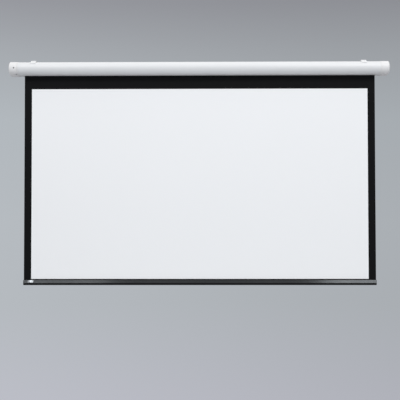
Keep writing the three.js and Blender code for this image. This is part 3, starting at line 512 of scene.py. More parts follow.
def floor_finish(name, tone, reach):
    """Pale matt floor that fades out with distance."""
    finish = Finish(name)
    fine = finish.grain(60, 5.0)
    broad = finish.grain(0.7, 3.0)
    base = finish.mix(fine * 0.4 + broad * 0.6, tinted(tone, 0.97), tinted(tone, 1.03))
    radius = finish.node("ShaderNodeVectorMath", {"operation": "LENGTH"}, {0: finish.spot}, output=1)
    shown = 1.0 - radius.spread(reach * 0.6, reach * 0.98)
    return finish.surface(base_color=base, roughness=0.75, specular_ior_level=0.2, alpha=shown)


# Outlines across the case and the bar: pairs of Y and Z, anticlockwise seen from the right

def arc(y, z, radius, start, end, count):
    """Points round a centre, from one angle to another in degrees from +Y."""
    turn = (math.radians(end) - math.radians(start)) / count
    first = math.radians(start)
    return [(y + radius * math.cos(first + turn * i), z + radius * math.sin(first + turn * i))
            for i in range(count + 1)]


def curve(first, pull, last, count):
    """A quadratic curve from one point to another, drawn towards a third."""
    def at(t):
        return tuple((1 - t) ** 2 * a + 2 * t * (1 - t) * b + t * t * c
                     for a, b, c in zip(first, pull, last))
    return [at(i / count) for i in range(count + 1)]


def shifted(points, gap, closed=False):
    """Each point moved sideways, to the right of the line's direction."""
    sharpest_mitre = 0.2
    moved = []
    count = len(points)
    for i, (y, z) in enumerate(points):
        before = points[i - 1] if closed or i else points[0]
        after = points[(i + 1) % count] if closed or i + 1 < count else points[-1]
        arriving = Vector((y - before[0], z - before[1]))
        leaving = Vector((after[0] - y, after[1] - z))
        arriving = (arriving if arriving.length > 0 else leaving).normalized()
        leaving = (leaving if leaving.length > 0 else arriving).normalized()
        along = (arriving + leaving).normalized()
        reach = gap / max(sharpest_mitre, along.dot(leaving))
        moved.append((y + along.y * reach, z - along.x * reach))
    return moved


def ribbon(points, thickness):
    """The outline of a strip with that middle line and thickness."""
    return shifted(points, thickness / 2) + shifted(points, -thickness / 2)[::-1]


def half_moon(growth=0.0):
    """The case's outline: a round front about the roller's axis, a flat back, top and underside."""
    case = settings("case")
    radius = case_radius + growth
    corner = case.corner + growth
    back = back_face() + growth - corner
    return (arc(back, -radius + corner, corner, -90, 0, case.corner_facets)
            + arc(back, radius - corner, corner, 0, 90, case.corner_facets)
            + arc(0, 0, radius, 90, 270, case.facets))


def back_face():
    """The case's flat back, behind the roller's axis."""
    return case_high.y - axis.y - settings("case").rail_reach


# Meshes: lists of points and faces

weld_distance, sliver_distance, corner_angle = 1e-7, 1e-8, 32.0
bore_facets, shank_facets, hole_facets, head_facets, rim_facets = 20, 24, 28, 32, 40


def prism(outline, x0, x1, holes=(), strip=False):
    """A body of one cross-section, from x0 to x1. A strip's outline runs along one side and back."""
    loops = [list(outline), *[list(hole) for hole in holes]]
    points, faces, starts = [], [], []
    for loop in loops:
        starts.append(len(points))
        points += [(x0, y, z) for y, z in loop] + [(x1, y, z) for y, z in loop]
    for start, loop in zip(starts, loops):
        count = len(loop)
        for i in range(count):
            j = (i + 1) % count
            faces.append((start + i, start + j, start + count + j, start + count + i))
    index = [start + i for start, loop in zip(starts, loops) for i in range(len(loop))]
    far = [start + len(loop) + i for start, loop in zip(starts, loops) for i in range(len(loop))]
    if strip:
        last = len(outline) - 1
        ends = [corners for i in range(last // 2)
                for corners in ((i, i + 1, last - i - 1), (i, last - i - 1, last - i))]
    else:
        ends = tessellate_polygon([[Vector((y, z, 0)) for y, z in loop] for loop in loops])
    for a, b, c in ends:
        faces += [(index[c], index[b], index[a]), (far[a], far[b], far[c])]
    return points, faces


def lathe(profile, count):
    """A body turned about the X axis: the closed profile holds pairs of distance along and radius."""
    points, faces, rings = [], [], []
    for along, radius in profile:
        if radius <= 0:
            rings.append([len(points)])
            points.append((along, 0, 0))
            continue
        rings.append(list(range(len(points), len(points) + count)))
        for i in range(count):
            turn = 2 * math.pi * i / count
            points.append((along, radius * math.cos(turn), radius * math.sin(turn)))
    for first, second in zip(rings, rings[1:] + rings[:1]):
        for i in range(count):
            j = (i + 1) % count
            corners = [first[i % len(first)], first[j % len(first)],
                       second[j % len(second)], second[i % len(second)]]
            face = list(dict.fromkeys(corners))
            if len(face) > 2:
                faces.append(tuple(face))
    return points, faces


def cylinder(x0, x1, radius, count):
    return lathe([(x0, 0), (x0, radius), (x1, radius), (x1, 0)], count)


def ring_faces(count, pairs):
    """Faces between pairs of rings, each ring with that many points."""
    return [(a * count + i, a * count + (i + 1) % count, b * count + (i + 1) % count, b * count + i)
            for a, b in pairs for i in range(count)]


def skin(rings):
    """A body of rings of points, closed over the first and the last ring."""
    count, last = len(rings[0]), len(rings) - 1
    faces = ring_faces(count, [(k, k + 1) for k in range(last)])
    flat = [Vector((y, z, 0)) for _, y, z in rings[0]]
    for a, b, c in tessellate_polygon([flat]):
        faces += [(a, b, c), (last * count + a, last * count + b, last * count + c)]
    return [point for ring in rings for point in ring], faces


def looped(rings):
    """A body of rings of points with a bore, its last ring joined to the first."""
    faces = ring_faces(len(rings[0]), [(k, (k + 1) % len(rings)) for k in range(len(rings))])
    return [point for ring in rings for point in ring], faces


def placed(shape, matrix):
    """The shape with its points moved by the matrix."""
    points, faces = shape
    return [tuple(matrix @ Vector(point)) for point in points], faces


def at_axis(x=0.0, y=0.0, z=0.0):
    return Matrix.Translation(axis + Vector((x, y, z)))


def pointing(degrees):
    """Turns a body that lies along +X to point across the case, at an angle from +Y."""
    return Matrix.Rotation(math.radians(degrees), 4, "X") @ Matrix.Rotation(math.radians(90), 4, "Z")


def raw_object(name, shape):
    mesh = bpy.data.meshes.new(name)
    mesh.from_pydata(shape[0], [], shape[1])
    made = bpy.data.objects.new(name, mesh)
    bpy.context.scene.collection.objects.link(made)
    return made


def settle(piece):
    """Applies the piece's modifiers, so that its mesh is final."""
    evaluated = piece.evaluated_get(bpy.context.evaluated_depsgraph_get())
    mesh = bpy.data.meshes.new_from_object(evaluated)
    piece.modifiers.clear()
    old = piece.data
    piece.data = mesh
    bpy.data.meshes.remove(old)


def sew(piece, sharp=corner_angle):
    """Merges double points, turns the faces outwards and keeps only real corners sharp."""
    body = bmesh.new()
    body.from_mesh(piece.data)
    bmesh.ops.remove_doubles(body, verts=body.verts, dist=weld_distance)
    bmesh.ops.dissolve_degenerate(body, edges=body.edges, dist=sliver_distance)
    bmesh.ops.recalc_face_normals(body, faces=body.faces)
    for face in body.faces:
        face.smooth = True
    for edge in body.edges:
        edge.smooth = edge.calc_face_angle(math.pi) < math.radians(sharp)
    body.to_mesh(piece.data)
    body.free()


def joined(piece, shapes, operation):
    """Adds shapes to a piece, or cuts them from it. Both are sewn first, to be closed for the solver."""
    for i, shape in enumerate(shapes):
        tool = raw_object(f"{piece.name}_tool_{i}", shape)
        sew(tool)
        sew(piece)
        step = piece.modifiers.new("join", "BOOLEAN")
        step.operation = operation
        step.solver = "EXACT"
        step.object = tool
        settle(piece)
        old = tool.data
        bpy.data.objects.remove(tool)
        bpy.data.meshes.remove(old)


def rounded(piece, width, segments=2, limit=35.0):
    """Rounds the piece's sharp edges."""
    step = piece.modifiers.new("edge", "BEVEL")
    step.width = width
    step.segments = segments
    step.limit_method = "ANGLE"
    step.angle_limit = math.radians(limit)
    step.use_clamp_overlap = True
    settle(piece)


def shade_flats(piece):
    """Keeps flat faces evenly lit up to their rounded edges."""
    step = piece.modifiers.new("flats", "WEIGHTED_NORMAL")
    step.keep_sharp = True
    settle(piece)


def finished(piece, finish, body, slot, *nodes, sharp=corner_angle, flats=False):
    """Gives a piece its finish, its body and the nodes that it stands for. Its slot is not used."""
    sew(piece, sharp)
    if flats:
        shade_flats(piece)
    piece.data.materials.clear()
    piece.data.materials.append(finish)
    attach(piece, body)
    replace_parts(piece, *nodes)


# Case

def case_section():
    """The extrusion's outline, open at the slot, with a round lip along each edge of the slot."""
    case = settings("case")
    wall, lip = case.wall, case.lip
    middle = sheet_y - axis.y
    front, back = middle - case.slot_width / 2, middle + case.slot_width / 2
    outer = half_moon()
    inner = half_moon(-wall)
    lip_z = -case_radius + lip
    return (outer + arc(front, lip_z, lip, -90, 180, case.lip_facets) + inner[::-1]
            + arc(back, lip_z, lip, 0, 270, case.lip_facets))


def back_rail(top):
    """The outline of a rail on the case's back, its lip hanging from its outer edge."""
    case = settings("case")
    back, reach, wall = back_face(), case.rail_reach, case.rail_wall
    inside = back - case.wall / 2
    return [(inside, top - wall), (back + reach - wall, top - wall),
            (back + reach - wall, top - case.rail_drop), (back + reach, top - case.rail_drop),
            (back + reach, top), (inside, top)]


def rail_tops():
    """The heights of the upper and the lower rail's tops, from the roller's axis."""
    case = settings("case")
    return case_radius - case.upper_rail, -case_radius + case.lower_rail


class PROJECTION_OT_case(bpy.types.Operator):
    """Build the painted half-moon extrusion with its slot, back rails and screw ports"""

    bl_idname = "projection.case"
    bl_label = "Case"

    def execute(self, context):
        case = settings("case")
        x0, x1 = case_low.x, case_high.x
        piece = raw_object("case_tube", placed(prism(case_section(), x0, x1), at_axis()))
        rail_ends = x0 + case.rail_setback, x1 - case.rail_setback
        joined(piece, [placed(prism(back_rail(top), *rail_ends), at_axis()) for top in rail_tops()],
               "UNION")
        bite, shy = case.port / 4, case.wall / 4
        inset = case.wall + case.port - bite
        back = back_face()
        ports = [(back - inset, case_radius - inset), (back - inset, -case_radius + inset),
                 (-case_radius + inset, 0)]
        port = cylinder(x0 + shy, x1 - shy, case.port, shank_facets)
        bore = cylinder(x0 - shy, x1 + shy, case.port_bore, bore_facets)
        joined(piece, [placed(port, at_axis(0, y, z)) for y, z in ports], "UNION")
        joined(piece, [placed(bore, at_axis(0, y, z)) for y, z in ports], "DIFFERENCE")
        finish = paint_finish("white_case_paint", case.paint, (40.0, 1.0, 1.0))
        finished(piece, finish, "case", "white_case", "case_shell")
        return {"FINISHED"}


# End caps

def cap_rings(growth, length, count):
    """Cross-sections of a cap's skin from its rim at zero to its tip at minus length."""
    cap = settings("caps")
    outline = half_moon(growth)
    middle = ((back_face() - case_radius) / 2, 0.0)
    stations = [(0.0, 1.0)]
    for i in range(count + 1):
        turn = math.pi / 2 * i / count
        stations.append((-length + cap.dome - cap.dome * math.sin(turn),
                         1 - cap.inset / case_radius * (1 - math.cos(turn))))
    return [[(x, middle[0] + (y - middle[0]) * scale, middle[1] + (z - middle[1]) * scale)
             for y, z in outline] for x, scale in stations]


def rim_rings(growth):
    """A short rounded edge at the rim: the cap's outline drawn in a little as it ends."""
    cap = settings("caps")
    rings = []
    for i in range(cap.rim_steps):
        turn = math.pi / 2 * i / cap.rim_steps
        drawn = cap.rim * (1 - math.sin(turn))
        along = cap.rim * math.cos(turn)
        outline = half_moon(growth - drawn)
        rings.append([(along - cap.rim, y, z) for y, z in outline])
    return rings


def groove_rings(growth):
    """A shadow groove round the cap, a little way in from its rim."""
    cap = settings("caps")
    start, end = cap.groove_start, cap.groove_start + cap.groove_width
    return [[(-along, y, z) for y, z in half_moon(growth - depth)]
            for along, depth in ((start, 0), (start, cap.groove_depth), (end, cap.groove_depth), (end, 0))]


def access_cutter(skin_at):
    """A round cutter along +X, wide behind a thin lip, with a chamfer where it leaves the skin."""
    cap = settings("caps")
    radius, chamfer = cap.access, cap.chamfer
    deep, out = skin_at - 3 * cap.wall, skin_at + cap.wall
    lip, wide = skin_at - cap.lip, radius + cap.relief
    return lathe([(deep, 0), (deep, wide), (lip, wide), (lip, radius), (skin_at - chamfer, radius),
                  (skin_at, radius + chamfer), (skin_at + chamfer, radius + 2 * chamfer),
                  (out, radius + 2 * chamfer), (out, 0)], rim_facets)


def limit_screw_places():
    """Where each limit screw lies along the roller, and which way it points, in degrees."""
    low_front, high_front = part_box("limit_screw_front")
    low_low, high_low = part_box("limit_screw_low")
    reach = Vector((low_low.y - axis.y, low_low.z - axis.z))
    return [((low_front.x + high_front.x) / 2, 180.0),
            ((low_low.x + high_low.x) / 2, math.degrees(math.atan2(reach.y, reach.x)))]


def build_cap(side):
    """A hollow cap with its two screw columns and, at the motor's end, its three holes."""
    cap = settings("caps")
    node = f"{side}_end_cap"
    low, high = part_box(node)
    length = high.x - low.x
    rim_x = high.x if side == "left" else low.x
    mirror = Matrix.Identity(4) if side == "left" else Matrix.Scale(-1, 4, (1, 0, 0))
    home = at_axis(rim_x) @ mirror
    outer = cap_rings(cap.growth, length, cap.dome_steps)
    outside = skin(rim_rings(cap.growth) + groove_rings(cap.growth) + outer[1:])
    piece = raw_object(f"{side}_cap_shell", placed(outside, home))
    hollow = skin(cap_rings(cap.growth - cap.wall - cap.gap, length - cap.wall, cap.hollow_steps))
    socket = prism(half_moon(cap.gap), -cap.overlap - cap.gap, cap.overlap)
    joined(piece, [placed(hollow, home), placed(socket, home)], "DIFFERENCE")
    plate_low, plate_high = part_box(f"{side}_end_plate")
    plate_face = plate_low.x - rim_x if side == "left" else rim_x - plate_high.x
    for z in (-cap.screw_z, cap.screw_z):
        here = home @ Matrix.Translation((0, cap.screw_y, z))
        column = cylinder(-length + cap.dome / 2, plate_face - cap.gap, cap.column, head_facets)
        well = cylinder(-length - cap.dome, -length + cap.well_depth, cap.well, head_facets)
        shank = cylinder(-length, plate_face + cap.gap, cap.screw_bore, shank_facets)
        joined(piece, [placed(column, here)], "UNION")
        joined(piece, [placed(well, here), placed(shank, here)], "DIFFERENCE")
    if side == "left":
        cutter = access_cutter(case_radius + cap.growth)
        holes = [placed(cutter, at_axis(x) @ pointing(turn)) for x, turn in limit_screw_places()]
        gland_low, gland_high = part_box("cable_gland")
        gland_z = (gland_low.z + gland_high.z) / 2 - axis.z
        gland_x = (gland_low.x + gland_high.x) / 2
        behind = back_face() + cap.growth
        stub = cylinder(behind - 2 * cap.wall, behind + cap.wall, cap.gland_hole, head_facets)
        holes.append(placed(stub, at_axis(gland_x, 0, gland_z) @ pointing(0)))
        joined(piece, holes, "DIFFERENCE")
    return piece


class PROJECTION_OT_end_caps(bpy.types.Operator):
    """Build the two moulded end caps with their screw wells and, at the motor, the access holes"""

    bl_idname = "projection.end_caps"
    bl_label = "End caps"

    def execute(self, context):
        cap = settings("caps")
        finish = moulded_finish("white_cap_plastic", cap.plastic, 0.48, 1500, 0.00004, 0.01)
        for side in ("left", "right"):
            finished(build_cap(side), finish, "case", "white_plastic", f"{side}_end_cap")
        return {"FINISHED"}


# Fasteners

def pan_screw(head, height, shank, reach):
    """A pan head screw along X, its head's seat at zero and its shank towards +X."""
    crown_share, rim_share, seat_share, tip_share = 0.45, 0.12, 0.94, 0.5
    pitch_share, depth_share = 0.4, 0.12
    crown_steps = 8
    crown = [(-height + height * crown_share * (1 - math.cos(turn)), head * math.sin(turn))
             for turn in (math.pi / 2 * i / crown_steps for i in range(crown_steps + 1))]
    thread = []
    pitch, depth = shank * pitch_share, shank * depth_share
    along = 4 * depth
    while along < reach - pitch:
        thread += [(along, shank), (along + pitch / 2, shank - depth)]
        along += pitch
    tip = [(reach - shank * tip_share, shank), (reach, shank * tip_share), (reach, 0)]
    seat = [(-height * rim_share, head), (0, head * seat_share), (0, shank)]
    return lathe(crown + seat + thread + tip, head_facets)


def cross_recess(head, height):
    """Two crossed slots for a screwdriver."""
    half_share, width_share, depth_share, overrun_share = 0.52, 0.13, 0.55, 0.2
    half, width = head * half_share, head * width_share
    blade = [(-half, -width), (half, -width), (half, width), (-half, width)]
    start, end = -height * (1 + overrun_share), -height * (1 - depth_share)
    return [prism([(y, z) if turned else (z, y) for y, z in blade], start, end)
            for turned in (True, False)]


def build_screw(node, name, toward, height, shank, finish):
    """A screw in the place of its node; toward is the way its shank points."""
    low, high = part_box(node)
    lie = max(range(3), key=lambda i: abs(toward[i]))
    length = high[lie] - low[lie]
    head = min(high[i] - low[i] for i in range(3) if i != lie) / 2
    seat = (low + high) / 2
    start = low[lie] if toward[lie] > 0 else high[lie]
    seat[lie] = start + height * toward[lie]
    turn = Vector((1, 0, 0)).rotation_difference(Vector(toward)).to_matrix().to_4x4()
    home = Matrix.Translation(seat) @ turn
    piece = raw_object(name, placed(pan_screw(head, height, shank, length - height), home))
    joined(piece, [placed(slot, home) for slot in cross_recess(head, height)], "DIFFERENCE")
    finished(piece, finish, "case", "zinc_steel", node)


class PROJECTION_OT_fasteners(bpy.types.Operator):
    """Build the screws of the end caps and the bolts of the clamps, with their cross recesses"""

    bl_idname = "projection.fasteners"
    bl_label = "Fasteners"

    def execute(self, context):
        size = settings("fasteners")
        finish = zinc_finish("screw_zinc")
        for side, way in (("left", 1), ("right", -1)):
            for level in ("upper", "lower"):
                build_screw(f"{side}_cap_screw_{level}", f"{side}_{level}_cap_screw_head",
                            (way, 0, 0), size.cap_head, size.cap_shank, finish)
            build_screw(f"{side}_clamp_bolt", f"{side}_clamp_bolt_head", (0, 1, 0),
                        size.bolt_head, size.bolt_shank, finish)
        return {"FINISHED"}


# Brackets and clamps

def claw(rail_top, plate_y, width):
    """A hook that reaches in behind a rail's lip and turns up there."""
    case, hold = settings("case"), settings("brackets")
    floor = rail_top - case.rail_drop - hold.clearance
    tip = back_face() + hold.claw_gap
    roof = rail_top - case.rail_wall - hold.clearance
    outline = [(plate_y + hold.claw / 2, floor - hold.claw), (plate_y + hold.claw / 2, floor),
               (tip + hold.claw, floor), (tip + hold.claw, roof), (tip, roof), (tip, floor - hold.claw)]
    return prism(outline, -width / 2, width / 2)


def bracket_line(node_low):
    """The middle line of the bent plate, from the foot of its wall leg to the tip of its nose."""
    hold = settings("brackets")
    half, bend = hold.plate / 2, hold.bend
    wall, ceiling = -axis.y, -axis.z
    hug = case_radius + hold.clearance + half
    turns = [hold.nose_from + (hold.nose_to - hold.nose_from) * i / hold.nose_steps
             for i in range(hold.nose_steps + 1)]
    nose = [(-hug * math.sin(turn), hug * math.cos(turn)) for turn in turns]
    shoulder = curve((bend - hold.nose_start, ceiling - half), (-hold.nose_start - half, ceiling - half),
                     nose[0], hold.shoulder_steps)
    return ([(wall - half, node_low.z - axis.z)]
            + arc(wall - half - bend, ceiling - half - bend, bend, 0, 90, hold.bend_steps)
            + shoulder + nose[1:])


def build_bracket(side, finish):
    """A bent plate with its nose over the case, a hook behind the upper rail and five holes."""
    hold = settings("brackets")
    node = f"{side}_bracket"
    low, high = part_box(node)
    width = high.x - low.x
    home = at_axis((low.x + high.x) / 2)
    wall, ceiling = -axis.y, -axis.z
    plate = prism(ribbon(bracket_line(low), hold.plate), -width / 2, width / 2)
    piece = raw_object(f"{side}_bracket_plate", placed(plate, home))
    hook = claw(rail_tops()[0], wall - hold.plate, width)
    joined(piece, [placed(hook, home)], "UNION")
    through = 3 * hold.plate
    wall_bore = cylinder(wall - through, wall + through, hold.hole, hole_facets)
    ceiling_bore = cylinder(ceiling - through, ceiling + through, hold.hole, hole_facets)
    bolt_bore = cylinder(wall - through, wall + through, hold.bolt_hole, hole_facets)
    holes = [placed(wall_bore, home @ Matrix.Translation((0, 0, ceiling - drop)) @ pointing(0))
             for drop in (hold.wall_hole_high, hold.wall_hole_low)]
    holes += [placed(ceiling_bore, home @ Matrix.Translation((0, wall - out, 0)) @ pointing(90))
              for out in (hold.ceiling_hole_near, hold.ceiling_hole_far)]
    bolt_z = -case_radius - hold.bolt_drop
    holes.append(placed(bolt_bore, home @ Matrix.Translation((0, 0, bolt_z)) @ pointing(0)))
    joined(piece, holes, "DIFFERENCE")
    rounded(piece, hold.edge)
    finished(piece, finish, "case", "white_paint", node, flats=True)


def build_jaw(side, finish):
    """A plate with a hook behind the lower rail and a hole for its bolt."""
    hold, case = settings("brackets"), settings("case")
    node = f"{side}_clamp_jaw"
    low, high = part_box(node)
    width = high.x - low.x
    home = at_axis((low.x + high.x) / 2)
    back = -axis.y - hold.plate - hold.clearance
    front = back - hold.jaw_plate
    lower = rail_tops()[1]
    top = lower - case.rail_drop - hold.clearance - hold.claw / 2
    foot = low.z - axis.z
    slab = prism([(front, foot), (back, foot), (back, top), (front, top)], -width / 2, width / 2)
    piece = raw_object(f"{side}_jaw_plate", placed(slab, home))
    joined(piece, [placed(claw(lower, front + hold.jaw_plate / 2, width), home)], "UNION")
    bolt_z = -case_radius - hold.bolt_drop
    bore = cylinder(front - hold.jaw_plate, back + hold.jaw_plate, hold.bolt_hole, hole_facets)
    joined(piece, [placed(bore, home @ Matrix.Translation((0, 0, bolt_z)) @ pointing(0))], "DIFFERENCE")
    rounded(piece, hold.edge)
    finished(piece, finish, "case", "zinc_steel", node, flats=True)


class PROJECTION_OT_brackets(bpy.types.Operator):
    """Build the two bent brackets and the clamp jaws that hold the case's lower rail"""

    bl_idname = "projection.brackets"
    bl_label = "Brackets"

    def execute(self, context):
        paint = paint_finish("white_bracket_paint", settings("case").paint)
        zinc = zinc_finish("clamp_zinc")
        for side in ("left", "right"):
            build_bracket(side, paint)
            build_jaw(side, zinc)
        return {"FINISHED"}


# Cable gland

def gland_rings(low_y, high_y, head):
    """Rings of points along the gland, from its foot round its outside and back through its bore."""
    gland = settings("gland")
    shoulder_share, tip_share = 0.93, 0.8
    seat = axis.y + back_face() + settings("caps").growth + gland.gap
    face = seat + gland.hexagon
    neck = face + gland.neck

    def ring(radius):
        return lambda turn: radius

    def hexagon(turn):
        return head * math.cos(math.pi / 6) / math.cos(turn % (math.pi / 3) - math.pi / 6)

    def fluted(share):
        middle = head - gland.flute_inset
        return lambda turn: share * (middle + gland.flute_depth * math.cos(gland.flutes * turn))

    stations = ((low_y, ring(gland.stub)), (seat, ring(gland.stub)), (seat, hexagon), (face, hexagon),
                (face, ring(gland.stub)), (neck, ring(gland.stub)), (neck, fluted(1.0)),
                (high_y - gland.taper, fluted(1.0)), (high_y - gland.nose, fluted(shoulder_share)),
                (high_y, fluted(tip_share)), (high_y, ring(gland.bore)), (low_y, ring(gland.bore)))
    turns = [2 * math.pi * i / gland.facets for i in range(gland.facets)]
    return [[(along, form(turn) * math.cos(turn), form(turn) * math.sin(turn)) for turn in turns]
            for along, form in stations]


class PROJECTION_OT_gland(bpy.types.Operator):
    """Build the cable gland behind the motor end: a threaded stub, a hexagon and a fluted nut"""

    bl_idname = "projection.gland"
    bl_label = "Cable gland"

    def execute(self, context):
        gland = settings("gland")
        low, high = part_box("cable_gland")
        middle = (low + high) / 2
        home = Matrix.Translation((middle.x, 0, middle.z)) @ pointing(0)
        rings = gland_rings(low.y, high.y, (high.z - low.z) / 2)
        piece = raw_object("gland_body", placed(looped(rings), home))
        rounded(piece, gland.edge, limit=55)
        finish = moulded_finish("gland_plastic", gland.plastic, 0.42, 900, 0.00004, 0.1)
        finished(piece, finish, "case", "black_plastic", "cable_gland")
        return {"FINISHED"}


# Screen sheet

def sheet_bow(x, z):
    """How far the sheet stands behind its plane: bowed side edges and soft waves, none at its ends."""
    waves_across, waves_down, wave_start = 4.1, 2.3, 0.6
    sheet = settings("sheet")
    half = drop_high.x
    fall = (axis.z - z) / (axis.z - view_low.z)
    held = math.sin(math.pi * min(1.0, max(0.0, fall)))
    to_edge = (half - abs(x)) / sheet.curl_width
    curl = sheet.edge_curl * math.exp(-to_edge * to_edge)
    wave = sheet.wave * math.sin(x * waves_across + wave_start) * math.sin(z * waves_down)
    return held * (curl + wave)


def sheet_panel(x0, x1, z0, z1, columns, rows):
    """A thin panel of the sheet, with both its faces and its four edges."""
    half = sheet_thickness / 2
    points, faces = [], []
    for side in (-half, half):
        for r in range(rows + 1):
            for c in range(columns + 1):
                x, z = x0 + (x1 - x0) * c / columns, z0 + (z1 - z0) * r / rows
                points.append((x, sheet_y + side + sheet_bow(x, z), z))
    layer = (rows + 1) * (columns + 1)

    def index(r, c):
        return r * (columns + 1) + c

    for r in range(rows):
        for c in range(columns):
            a, b, d, e = index(r, c), index(r, c + 1), index(r + 1, c + 1), index(r + 1, c)
            faces += [(a, b, d, e), (layer + e, layer + d, layer + b, layer + a)]
    border = ([index(0, c) for c in range(columns)] + [index(r, columns) for r in range(rows)]
              + [index(rows, c) for c in range(columns, 0, -1)] + [index(r, 0) for r in range(rows, 0, -1)])
    for a, b in zip(border, border[1:] + border[:1]):
        faces.append((b, a, layer + a, layer + b))
    return points, faces


def fold_with_travel(piece):
    """Gives the panel a mesh of its own. The share of the sheet that stays out at full travel is worked out
    but not used.
    """
    travel = next(joint for joint in frame["joints"] if joint["name"] == "screen_travel")
    length = axis.z - view_low.z
    keep = (length - travel["range_m"][1]) / length
    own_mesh(piece)


class PROJECTION_OT_sheet(bpy.types.Operator):
    """Build the white viewing surface, its black drop, borders and hem, and the wraps on the roller"""

    bl_idname = "projection.sheet"
    bl_label = "Screen sheet"

    def execute(self, context):
        sheet = settings("sheet")
        white = cloth_finish("screen_white", sheet.white, sheet.pitch, 0.85, lint=0.0, specular=0.25)
        black = cloth_finish("screen_black", sheet.black, sheet.pitch, 0.6, lint=0.35, specular=0.05)
        pale, dark = (white, "white_fabric"), (black, "black_fabric")
        edge, half = drop_high.x, view_high.x
        top, bottom = view_high.z, view_low.z
        columns, rows, border_columns, drop_rows = 160, 80, 8, 12
        panels = [
            ("white_screen", "viewing_surface", (-half, half, bottom, top), (columns, rows), pale),
            ("upper_masking", "black_drop", (-edge, edge, top, drop_high.z), (columns, drop_rows), dark),
            ("left_masking", "left_black_border", (-edge, -half, bottom, top), (border_columns, rows), dark),
            ("right_masking", "right_black_border", (half, edge, bottom, top), (border_columns, rows), dark),
        ]
        for name, node, (x0, x1, z0, z1), counts, (finish, slot) in panels:
            piece = raw_object(name, sheet_panel(x0, x1, z0, z1, *counts))
            finished(piece, finish, "case", slot, node)
            x1 - x0
            z1 - z0
            fold_with_travel(piece)
        self.hem(black)
        self.roll(black)
        return {"FINISHED"}

    @staticmethod
    def hem(finish):
        """The black strip above the bar and its loop round the hem rod."""
        bar, sheet = settings("bar"), settings("sheet")
        low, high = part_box("hem_strip")
        home = Matrix.Translation((0, sheet_y, bar_high.z))
        thin = sheet_thickness / 2
        loop = bar.rod + sheet.hem_gap + thin
        neck = math.degrees(math.asin(thin / loop))
        ring = ribbon(arc(0, -bar.channel_depth, loop, 90 + neck, 450 - neck, sheet.hem_steps), 2 * thin)
        strip = [(-thin, -bar.channel_depth + loop - thin), (thin, -bar.channel_depth + loop - thin),
                 (thin, view_low.z - bar_high.z), (-thin, view_low.z - bar_high.z)]
        piece = raw_object("hem_sleeve", placed(prism(ring, low.x, high.x), home))
        joined(piece, [placed(prism(strip, low.x, high.x), home)], "UNION")
        finished(piece, finish, "screen_bar", "black_fabric", "hem_strip")

    @staticmethod
    def roll(finish):
        """The wraps left on the roller, as one spiral with a trace of air between its turns."""
        packed_share = 0.96
        sheet = settings("sheet")
        radius = (roll_high.z - roll_low.z) / 2
        count = sheet.wraps * sheet.turn_steps
        start = radius - sheet.wraps * sheet_thickness + sheet_thickness / 2
        line = []
        for i in range(count + 1):
            turn = 2 * math.pi * sheet.wraps * i / count
            out = start + (radius - sheet_thickness / 2 - start) * i / count
            line.append((out * math.cos(turn), out * math.sin(turn)))
        section = ribbon(line, sheet_thickness * packed_share)
        roll = prism(section, roll_low.x, roll_high.x, strip=True)
        piece = raw_object("rolled_screen", placed(roll, at_axis()))
        finished(piece, finish, "roller", "black_fabric", "fabric_roll", sharp=50)


# Bottom bar

def bar_front():
    """The bar's front line from the top to the foot."""
    bar = settings("bar")
    half = (bar_high.y - bar_low.y) / 2
    height = bar_high.z - bar_low.z
    upper = curve((-bar.top_half, 0), (-bar.shoulder_half, -bar.shoulder), (-half, -bar.belly), bar.facets)
    lower = curve((-half, -bar.belly), (-bar.keel_half, -bar.keel), (-bar.foot_half, -height), bar.facets)
    return upper, lower


def bar_outline():
    upper, lower = bar_front()
    front = upper + lower[1:]
    return front + [(-y, z) for y, z in front[::-1]]


def bar_section():
    """The bar's outline with the hem channel let into its top."""
    bar = settings("bar")
    outline = bar_outline()
    mouth = bar.mouth / 2
    neck = math.degrees(math.asin(mouth / bar.channel))
    channel = arc(0, -bar.channel_depth, bar.channel, 90 - neck, -270 + neck, bar.channel_facets)
    return outline + [(mouth, 0)] + channel + [(-mouth, 0)]


